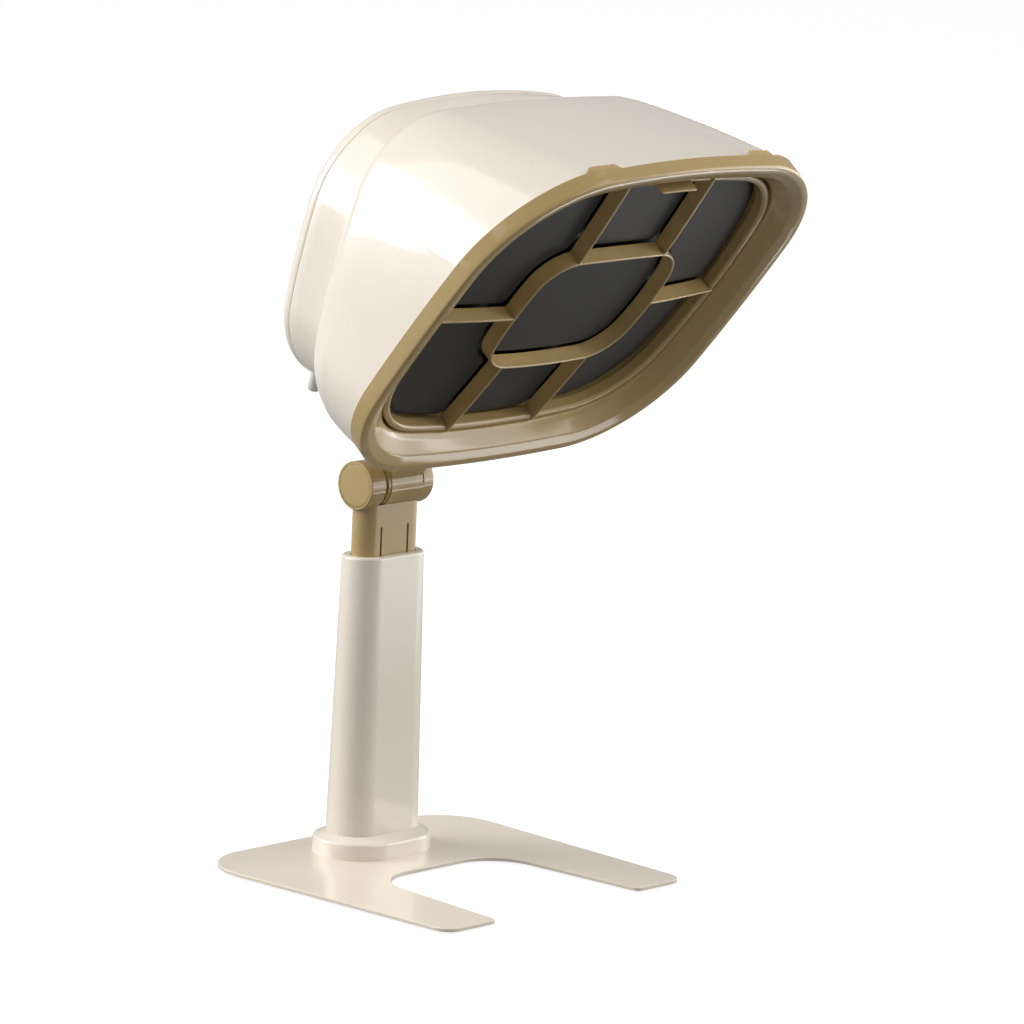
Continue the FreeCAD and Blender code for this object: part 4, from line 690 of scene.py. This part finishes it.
for row in range(-5, 6):
    v = row * slot_pitch
    reach = math.sqrt(intake_radius ** 2 - v * v) - slot_half
    turn = [math.radians(90 - 180 * k / 8) for k in range(9)]
    flat = [(reach + slot_half * math.cos(a), v + slot_half * math.sin(a)) for a in turn]
    flat += [(-x, 2 * v - y) for x, y in flat]
    rings = [placed(np.array(flat), z, rear_place) for z in (cover_back - 3, cover_back + 4)]
    cuts.append(meshed("slot", np.concatenate(rings), ring_faces(len(flat), 2, False),
                       gloss_cream))
screw_spots = [np.array([x * 101.0, y * 72.0]) for x, y in ((-1, -1), (-1, 1), (1, -1), (1, 1))]
for at in screw_spots:
    rings = circles(at, ((4.6, cover_back - 3), (4.6, cover_back + 0.2), (3.4, cover_back + 1.2)),
                    rear_place)
    cuts.append(meshed("well", np.concatenate(rings), ring_faces(32, 3, False), gloss_cream))
combined(cover, cuts, "DIFFERENCE")
stand_for(cover, "hood", "cream_plastic", "rear_cover")
for i, at in enumerate(screw_spots):
    rings = circles(at, [(radius, cover_back + z) for radius, z in (
        (3.2, 1.9), (3.9, 1.2), (3.9, 0.7), (3.5, 0.35), (1.0, 0.2))], rear_place)
    head = meshed("cover_screw_%d" % (i + 1), np.concatenate(rings), ring_faces(32, 5, False),
                  turned_steel)
    crosses = [block((at[0] - w, at[1] - h, cover_back - 1),
                     (at[0] + w, at[1] + h, cover_back + 1.1), rear_place)
               for w, h in ((2.2, 0.45), (0.45, 2.2))]
    combined(head, crosses, "DIFFERENCE")
    stand_for(head, "hood", "steel")
pale_nylon = moulded("pale_nylon", (0.60, 0.575, 0.52), 0.45, grain=1100.0, depth=0.10)
dress(pale_nylon, "cord_gland")
filter_pad = moulded("filter_pad", (0.10, 0.10, 0.10), 0.9, grain=420.0, depth=1.0, drift=0.2)
dress(filter_pad, "intake_filter")


# The front ring is a bronze moulding: a band round the mouth, a flat lip that rolls softly
# into the bevelled inner wall, the skirt that houses the grille, and two clip tabs on top.
pocket_edge = (136.2, 124.2, 473.8, 588.8, 588.8, 60.8, 60.8)
skirt_edge = inset(pocket_edge, -1.5)
pocket_back = -28.4
band_round = 2.2
tab_length, tab_rise = 4.4, 0.15
mouth_flat = outline(mouth_edge)
tabs = np.zeros(len(mouth_flat))
for x in (-80.0, 70.5):
    side = (13.5 - np.abs(mouth_flat[:, 0] - x)) / 3.5
    tabs = np.maximum(tabs, tab_length * np.clip(side, 0, 1) * (mouth_flat[:, 1] > 0))
tab_lift = outward(mouth_flat) * (tabs / tab_length * tab_rise)[:, None]


def band(amount, z, lift=0.0):
    """A ring inside the mouth's outline by an amount, at a depth."""
    return placed(outline(inset(mouth_edge, amount)) + lift, z, mouth_place)


def softened(before, corner, after, reach, steps):
    """Rings that round off one corner of a profile, starting a reach before it."""
    first = before - corner
    first /= np.linalg.norm(first, axis=1)[:, None]
    second = after - corner
    second /= np.linalg.norm(second, axis=1)[:, None]
    half = np.arccos(np.clip(-(first * second).sum(1), -1, 1))[:, None] / 2
    return conic(corner + first * reach, corner, corner + second * reach, steps, np.cos(half))


back = ring_back()
rings = [band(0.2, back - tabs, tab_lift), band(0.0, back - tabs + 0.2, tab_lift),
         band(0.0, back + 0.5, tab_lift), band(0.0, back + 3.0), band(0.0, -6.0),
         band(0.0, -band_round)]
for k in range(1, 7):
    a = math.radians(90 * k / 6)
    rings.append(band(band_round * (1 - math.cos(a)), band_round * (math.sin(a) - 1)))
lip_end = band(5.6, 0.0)
crease = band(12.9, -3.1)
bevel_foot = placed(outline(pocket_edge), -13.0, mouth_place)
rings += softened(band(2.0, 0.0), lip_end, crease, 0.0011, 5)
rings += softened(lip_end, crease, bevel_foot, 0.0013, 5)
rings += [crease * (1 - t) + bevel_foot * t for t in (0.35, 0.65, 0.95)]
rings += [placed(outline(edge), z, mouth_place) for edge, z in (
    (pocket_edge, -13.8), (pocket_edge, pocket_back), (skirt_edge, pocket_back),
    (skirt_edge, -13.6))]
rings += [band(7.5, -2.6), band(2.5, -2.5), band(2.5, back), band(1.6, back),
          band(1.6, back - tabs)]
ring = meshed("mouth_ring", np.concatenate(rings), ring_faces(len(mouth_flat), len(rings)),
              highlit_bronze, 40)
stand_for(ring, "hood", "bronze_plastic", "front_ring")


# The grille is one bronze moulding that snaps into the ring: a rolled frame, a crowned loop
# and six crowned spokes with drafted sides and rounded fronts, and a lip to pull it by.
grille_edge = (135.4, 123.4, 473.0, 588.0, 588.0, 64.0, 64.0)
loop_edge = (67.0, 53.2, 193.0, 900.0, 900.0, 29.0, 29.0)
spoke_x = 41.3
crown_radius, crown_back = 1360.0, 5.4
frame_width = 5.4


def crowned(flat, set_back):
    """Depth of the crown's ball at each point of a flat outline."""
    away = (flat ** 2).sum(1)
    return -set_back - (crown_radius - np.sqrt(crown_radius ** 2 - away))


frame_profile = [(0.0, -28.1), (0.0, -15.2)]
for k in range(9):
    a = math.radians(180 - 180 * k / 8)
    half = frame_width / 2
    frame_profile.append((half + half * math.cos(a), -15.2 + 2.2 * math.sin(a)))
frame_profile += [(frame_width, -16.2), (frame_width + 0.1, -21.6), (3.2, -22.0), (3.0, -28.1)]
frame_rings = [placed(outline(inset(grille_edge, amount)), z, mouth_place)
               for amount, z in frame_profile]
frame_part = meshed("grille_frame", np.concatenate(frame_rings),
                    ring_faces(len(mouth_flat), len(frame_rings)), highlit_bronze, 40)

rib_profile = [(1.2, -11.4), (0.95, -1.1), (0.84, -0.45), (0.56, -0.12), (0.2, 0.0)]
rib_profile += [(-a, z) for a, z in rib_profile[::-1]]
loop_mid = inset(loop_edge, 1.0)
loop_steps = (22, 24, 24)
loop_crown = crowned(outline(loop_mid, loop_steps), crown_back)
loop_rings = [placed(outline(inset(loop_mid, off), loop_steps), loop_crown + z, mouth_place)
              for off, z in rib_profile]
loop_part = meshed("grille_loop", np.concatenate(loop_rings),
                   ring_faces(len(loop_crown), len(loop_rings)), highlit_bronze, 40)

bars = []
for s in (-1, 1):
    bars.append(((s * 65.6, 0.0), (s * 132.6, 0.0)))
    for t in (-1, 1):
        bars.append(((s * spoke_x, t * 50.9), (s * spoke_x, t * 120.2)))
bar_parts = []
for i, (root, tip) in enumerate(bars):
    root, tip = np.array(root), np.array(tip)
    side = np.array([-(tip - root)[1], (tip - root)[0]])
    side = side / np.hypot(*side)
    stations = []
    for k in range(15):
        mid = root + (tip - root) * k / 14
        top = crowned(mid[None, :], crown_back)[0]
        flat = np.array([mid + side * off for off, z in rib_profile])
        depth = np.array([top + z for off, z in rib_profile])
        stations.append(placed(flat, depth, mouth_place))
    bar_parts.append(meshed("grille_spoke_%d" % i, np.concatenate(stations),
                            ring_faces(len(rib_profile), len(stations), False), highlit_bronze, 40))

lip_v, lip_bow = 122.4 - 0.9, 1180
lip_stations = []
for z, wide, thick in ((-16.0, 18.0, 2.0), (-12.0, 17.6, 1.9), (-6.5, 17.0, 1.7),
                       (-4.6, 16.8, 1.6), (-3.9, 16.5, 1.3), (-3.6, 16.0, 0.7)):
    flat = []
    for k in range(16):
        a = 2 * math.pi * k / 16
        x = wide * np.sign(math.cos(a)) * abs(math.cos(a)) ** 0.25
        y = lip_v + thick / 2 * np.sign(math.sin(a)) * abs(math.sin(a)) ** 0.5
        flat.append((x, y - x * x / lip_bow))
    lip_stations.append(placed(np.array(flat), z, mouth_place))
lip_part = meshed("grille_lip", np.concatenate(lip_stations), ring_faces(16, 6, False),
                  highlit_bronze, 40)
grille = combined(frame_part, [loop_part, lip_part] + bar_parts, "UNION")
grille.name = "grille_guard"
stand_for(grille, "grille", "bronze_plastic", "grille_insert")


# Seven pressed plates with a dark grey enamel lie behind the grille, one in each of its
# cells. Each has rolled edges, follows the crown and stands on a post from the tray.
dark_enamel = moulded("dark_enamel", (0.056, 0.055, 0.053), 0.48, drift=0.05, smears=0.0,
                      grain=1200.0, depth=0.03, shine=0.1)
plate_gap, plate_back, plate_drop = 3.1, 16.7, 2.9


def depth_inside(spec, x, y):
    """Distance of points inwards from a bowed outline, negative outside it."""
    half_w, half_h, side_bow, end_bow, _, corner, _ = spec
    side_end, corner_end = quarter((half_w, half_h, side_bow, end_bow, corner), (1, 1, 1))[1:3]
    side_c = np.array([half_w - side_bow, 0.0])
    towards = (side_end - side_c) / side_bow
    corner_c = side_end - towards * corner
    up = (corner_end - corner_c) / corner
    x, y = np.abs(x), np.abs(y)
    off_x, off_y = x - corner_c[0], y - corner_c[1]
    in_corner = (towards[0] * off_y > towards[1] * off_x) & (off_x * up[1] > off_y * up[0])
    walls = np.minimum(side_bow - np.hypot(x - side_c[0], y),
                       end_bow - np.hypot(x, y - half_h + end_bow))
    return np.where(in_corner, corner - np.hypot(off_x, off_y), walls)


def rounded_least(a, b, radius):
    """The smaller of two depths, with the corner between their edges rounded."""
    bend = radius - np.hypot(radius - a, radius - b)
    return np.where((a < radius) & (b < radius), bend, np.minimum(a, b))


def cell_depth(x, y, sx, sy):
    """Depth of points inside one cell of the grille, given the cell's side and row."""
    if sx == 0 and sy == 0:
        return depth_inside(loop_edge, x, y) - 2.0 - plate_gap
    depth = depth_inside(grille_edge, x, y) - frame_width - plate_gap + 1.4
    depth = rounded_least(depth, -depth_inside(loop_edge, x, y) - plate_gap, 5.0)
    if sx == 0:
        return rounded_least(depth, spoke_x - np.abs(x) - 1.0 - plate_gap, 5.0)
    depth = rounded_least(depth, x * sx - spoke_x - 1.0 - plate_gap, 5.0)
    return rounded_least(depth, y * sy - 1.0 - plate_gap, 5.0)


def cell_outline(seed, sx, sy, spacing=2.0):
    """The cell's outline, found along rays from a seed and spaced evenly."""
    turn = np.arange(720) * 2 * math.pi / 720
    dx, dy = np.cos(turn), np.sin(turn)
    reach = np.arange(0, 150, 1.0)[:, None]
    outside = cell_depth(seed[0] + dx * reach, seed[1] + dy * reach, sx, sy) <= 0
    far = outside.argmax(0).astype(float)
    near = far - 1.0
    for _ in range(14):
        half = (near + far) / 2
        within = cell_depth(seed[0] + dx * half, seed[1] + dy * half, sx, sy) > 0
        near = np.where(within, half, near)
        far = np.where(within, far, half)
    found = np.stack([seed[0] + dx * near, seed[1] + dy * near], 1)
    found = np.concatenate([found, found[:1]])
    along = np.concatenate([[0], np.cumsum(np.hypot(*np.diff(found, axis=0).T))])
    count = int(along[-1] / spacing)
    marks = np.arange(count) * along[-1] / count
    return np.stack([np.interp(marks, along, found[:, i]) for i in (0, 1)], 1)


def pressed(flat, sink=0.0):
    """Points of a plate's crowned face, or of a ring sunk below it."""
    return placed(flat, crowned(flat, plate_back) - sink, mouth_place)


plates = [("plate_centre", (0, 0), 0, 0), ("plate_top", (0, 86), 0, 1),
          ("plate_bottom", (0, -86), 0, -1), ("plate_upper_left", (-95, 66), -1, 1),
          ("plate_upper_right", (95, 66), 1, 1), ("plate_lower_left", (-95, -66), -1, -1),
          ("plate_lower_right", (95, -66), 1, -1)]
for plate_name, seed, sx, sy in plates:
    edge = cell_outline(seed, sx, sy)
    away = outward(edge)
    seed = np.array(seed, float)
    count = len(edge)
    rings = [pressed(edge - away * off, sink) for off, sink in (
        (1.4, plate_drop), (0.1, plate_drop), (0.0, 2.6), (0.0, 1.5), (0.22, 0.75),
        (0.75, 0.22), (1.5, 0.0))]
    start = edge - away * 1.5
    rings += [pressed(start * (1 - t) + seed * t)
              for t in (0.06, 0.14, 0.25, 0.38, 0.52, 0.66, 0.80, 0.92)]
    faces = ring_faces(count, len(rings), False)[:-2]
    faces.append(tuple((len(rings) - 1) * count + j for j in range(count)))
    base = len(rings) * count
    rings.append(pressed(start * 0.06 + seed * 0.94, plate_drop))
    faces += [(j, base + j, base + (j + 1) % count, (j + 1) % count) for j in range(count)]
    faces.append(tuple(base + j for j in range(count - 1, -1, -1)))
    first = base + count
    post_top = crowned(seed[None, :], plate_back)[0] - plate_drop
    rings += circles(seed, ((4.2, post_top), (4.2, pocket_back)), mouth_place, 24)
    faces += [tuple(first + j for j in face) for face in ring_faces(24, 2, False)]
    plate = meshed(plate_name + "_pressing", np.concatenate(rings), faces, dark_enamel, 40)
    stand_for(plate, "hood", "dark_enamel", plate_name)


# The control panel is a bronze moulding in the housing's right-hand wall. Five printed
# ticks and three figures in pale ink run round the heat knob.
dress(highlit_bronze, "control_panel")
pale_print = moulded("pale_print", (0.62, 0.60, 0.55), 0.5, grain=900.0, depth=0.05)
panel_face, print_rise = 135.9, 0.08
knob_v, knob_z = 17.0, -17.0


def on_side(x, v, z):
    """Points of the side wall, with how far out, up and forward each lies in millimetres."""
    x, v, z = np.broadcast_arrays(np.asarray(x, float), v, z)
    return placed(np.stack([x, v], 1), z, rear_place)


def printed(name, corners, body, base=panel_face, rise=0.1):
    """A thin raised print on the side wall from the corners of a flat shape."""
    v, z = np.array(corners).T
    rings = [on_side(x, v, z) for x in (base - 0.05, base + rise)]
    mark = meshed(name, np.concatenate(rings), ring_faces(len(v), 2, False), pale_print)
    stand_for(mark, body, "cream_paint")


knob_at = np.array([knob_v, knob_z])
for i in (0, 2, 3, 4, 6):
    a = math.radians(-135 + 45 * i)
    towards = np.array([math.cos(a), -math.sin(a)])
    half, length = (0.32, 11.8) if i % 3 else (0.5, 12.3)
    across_tick = np.array([-towards[1], towards[0]]) * half
    near, far = knob_at + towards * 10.6, knob_at + towards * length
    printed("knob_tick_%d" % i, [near - across_tick, far - across_tick, far + across_tick,
                                 near + across_tick], "hood")
for figure, v, z in (("0", 5.2, -24.4), ("1", 31.4, -17.0), ("2", 5.2, -9.6)):
    curve = bpy.data.curves.new("figure", "FONT")
    curve.body = figure
    curve.size = 4.6
    curve.extrude = 0.07
    curve.align_x = "CENTER"
    curve.align_y = "CENTER"
    curve.resolution_u = 3
    holder = bpy.data.objects.new("figure", curve)
    flat_mesh = bpy.data.meshes.new_from_object(holder)
    spots = np.array([tuple(p.co) for p in flat_mesh.vertices])
    faces = [tuple(p.vertices) for p in flat_mesh.polygons]
    points = on_side(panel_face + 0.02 + spots[:, 2], v + spots[:, 1], z - spots[:, 0])
    number = meshed("knob_figure_" + figure, points, faces, pale_print)
    weld = bmesh.new()
    weld.from_mesh(number.data)
    bmesh.ops.remove_doubles(weld, verts=weld.verts, dist=1e-6)
    bmesh.ops.recalc_face_normals(weld, faces=weld.faces)
    weld.to_mesh(number.data)
    weld.free()
    bpy.data.objects.remove(holder)
    stand_for(number, "hood", "cream_paint")


# The heat knob is a fluted bronze moulding with a low skirt and a raised pointer, pressed
# on the switch's shaft. A printed line fills the pointer.
shaft_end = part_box("heat_knob")[0].x * 1000
turn = np.arange(192) * 2 * math.pi / 192
flute = 0.5 - 0.5 * np.cos(24 * turn)
rings = []
for x, r, deep in ((shaft_end, 2.6, 0), (shaft_end + 0.4, 3.0, 0), (136.2, 3.0, 0),
                   (136.2, 9.2, 0), (136.4, 9.45, 0), (136.7, 9.5, 0), (137.4, 9.5, 0),
                   (137.7, 9.4, 0), (138.0, 9.1, 0.1), (138.3, 9.0, 0.5), (141.5, 8.9, 0.55),
                   (145.4, 8.8, 0.55), (146.1, 8.7, 0.35), (146.7, 8.4, 0.12), (147.05, 8.0, 0),
                   (147.2, 7.4, 0), (147.15, 6.9, 0), (146.8, 6.4, 0), (146.7, 5.6, 0),
                   (146.65, 3.0, 0), (146.65, 0.6, 0)):
    reach = r - deep * flute
    rings.append(on_side(x, knob_v + reach * np.cos(turn), knob_z + reach * np.sin(turn)))
knob = meshed("heat_knob_fluted", np.concatenate(rings), ring_faces(192, len(rings), False),
              highlit_bronze, 40)
pointer_rings = []
for x, wide, start, stop in ((146.0, 0.75, 0.2, 7.9), (147.5, 0.7, 0.4, 7.8),
                             (147.8, 0.5, 0.7, 7.5)):
    v = knob_v + np.array([start, stop, stop, start])
    z = knob_z + np.array([-wide, -wide, wide, wide])
    pointer_rings.append(on_side(x, v, z))
pointer = meshed("pointer", np.concatenate(pointer_rings), ring_faces(4, 3, False),
                 highlit_bronze, 40)
combined(knob, [pointer], "UNION")
stand_for(knob, "heat_knob", "bronze_plastic", "heat_knob")
printed("knob_pointer_line", [(knob_v + 1.2, knob_z - 0.28), (knob_v + 7.2, knob_z - 0.28),
                              (knob_v + 7.2, knob_z + 0.28), (knob_v + 1.2, knob_z + 0.28)],
        "heat_knob", 147.8, print_rise)


# The power rocker is a black moulding with a dished face and two stub pins. Its ends carry
# a printed bar and a printed ring for on and off.
black_plastic = moulded("black_plastic", (0.013, 0.013, 0.014), 0.45, grain=900.0, depth=0.10)
pivot_x, rocker_v, rocker_z = 134.2, -18.0, -17.0
rocker_half, rocker_root = 9.6, 2.6


def rocked(x, v, z):
    """Points of the rocker, measured from its pins, in its rest place."""
    lean = math.radians(-6.0)
    x, v, z = np.broadcast_arrays(np.asarray(x, float), v, z)
    return on_side(pivot_x + x * math.cos(lean) - v * math.sin(lean),
                   rocker_v + x * math.sin(lean) + v * math.cos(lean), rocker_z + z)


def dish(v):
    """How far out the rocker's dished face stands at each height."""
    return 1.3 + 1.4 * (np.abs(v) / rocker_half) ** 1.25


face_v = np.linspace(rocker_half, -rocker_half, 17)
side_x = np.concatenate([[-rocker_root, -rocker_root, -1.0], dish(face_v), [-1.0]])
side_v = np.concatenate([[-5.0, 5.0, rocker_half], face_v, [-rocker_half]])
rings = [rocked(side_x * (1 - shrink / rocker_root), side_v * (1 - shrink / rocker_half), z)
         for z, shrink in ((-5.5, 0.45), (-5.37, 0.13), (-5.05, 0.0), (5.05, 0.0),
                           (5.37, 0.13), (5.5, 0.45))]
rocker = meshed("power_rocker_dished", np.concatenate(rings), ring_faces(len(side_x), 6, False),
                black_plastic, 50)
pin_turn = np.arange(24) * 2 * math.pi / 24
pin_rings = [rocked(r * np.cos(pin_turn), r * np.sin(pin_turn), z)
             for z, r in ((-7.3, 0.8), (-7.1, 1.0), (7.1, 1.0), (7.3, 0.8))]
pins = meshed("pins", np.concatenate(pin_rings), ring_faces(24, 4, False), black_plastic, 40)
combined(rocker, [pins], "UNION")
stand_for(rocker, "power_rocker", "black_plastic", "power_rocker")
bar_v = np.array([4.6, 7.8, 7.8, 4.6])
bar_z = np.array([-0.35, -0.35, 0.35, 0.35])
rings = [rocked(dish(bar_v) + rise, bar_v, bar_z) for rise in (-0.05, print_rise)]
on_mark = meshed("rocker_mark_on", np.concatenate(rings), ring_faces(4, 2, False), pale_print)
ring_turn = np.arange(40) * 2 * math.pi / 40
rings = []
for r, rise in ((1.25, -0.05), (1.25, print_rise), (1.85, print_rise), (1.85, -0.05)):
    v = -6.2 + r * np.cos(ring_turn)
    rings.append(rocked(dish(v) + rise, v, r * np.sin(ring_turn)))
off_mark = meshed("rocker_mark_off", np.concatenate(rings), ring_faces(40, 4), pale_print)
for mark in (on_mark, off_mark):
    stand_for(mark, "power_rocker", "cream_paint")


# The tray behind the plates and the fan are black mouldings. So is the fan duct, whose
# mounting plate is trimmed all round to sit just inside the rear housing's wall.
dress(black_plastic, "plate_tray", "impeller")
duct = bpy.data.objects.new("fan_duct_moulding", node["fan_duct"].data.copy())
bpy.context.scene.collection.objects.link(duct)
duct.data.materials.clear()
duct.data.materials.append(black_plastic)
within = outline(inset(housing_edge, 2.9))
rings = [placed(within, z, rear_place) for z in (60.0, -60.0)]
trim = meshed("duct_trim", np.concatenate(rings), ring_faces(len(within), 2, False),
              black_plastic)
combined(duct, [trim], "INTERSECT")
stand_for(duct, "hood", "black_plastic", "fan_duct")


# The board is green laminate, the heater winds round crossed mica sheets, and the motor,
# the heating strip and the cutout are steel.
board_green = moulded("board_green", (0.03, 0.16, 0.07), 0.35, grain=500.0, depth=0.1, drift=0.2)
mica = moulded("mica_sheet", (0.52, 0.45, 0.33), 0.4, grain=300.0, depth=0.3, drift=0.25)
dress(board_green, "control_board")
dress(mica, "heater_frame")
dress(turned_steel, "fan_motor", "heater_element", "thermal_cutout")
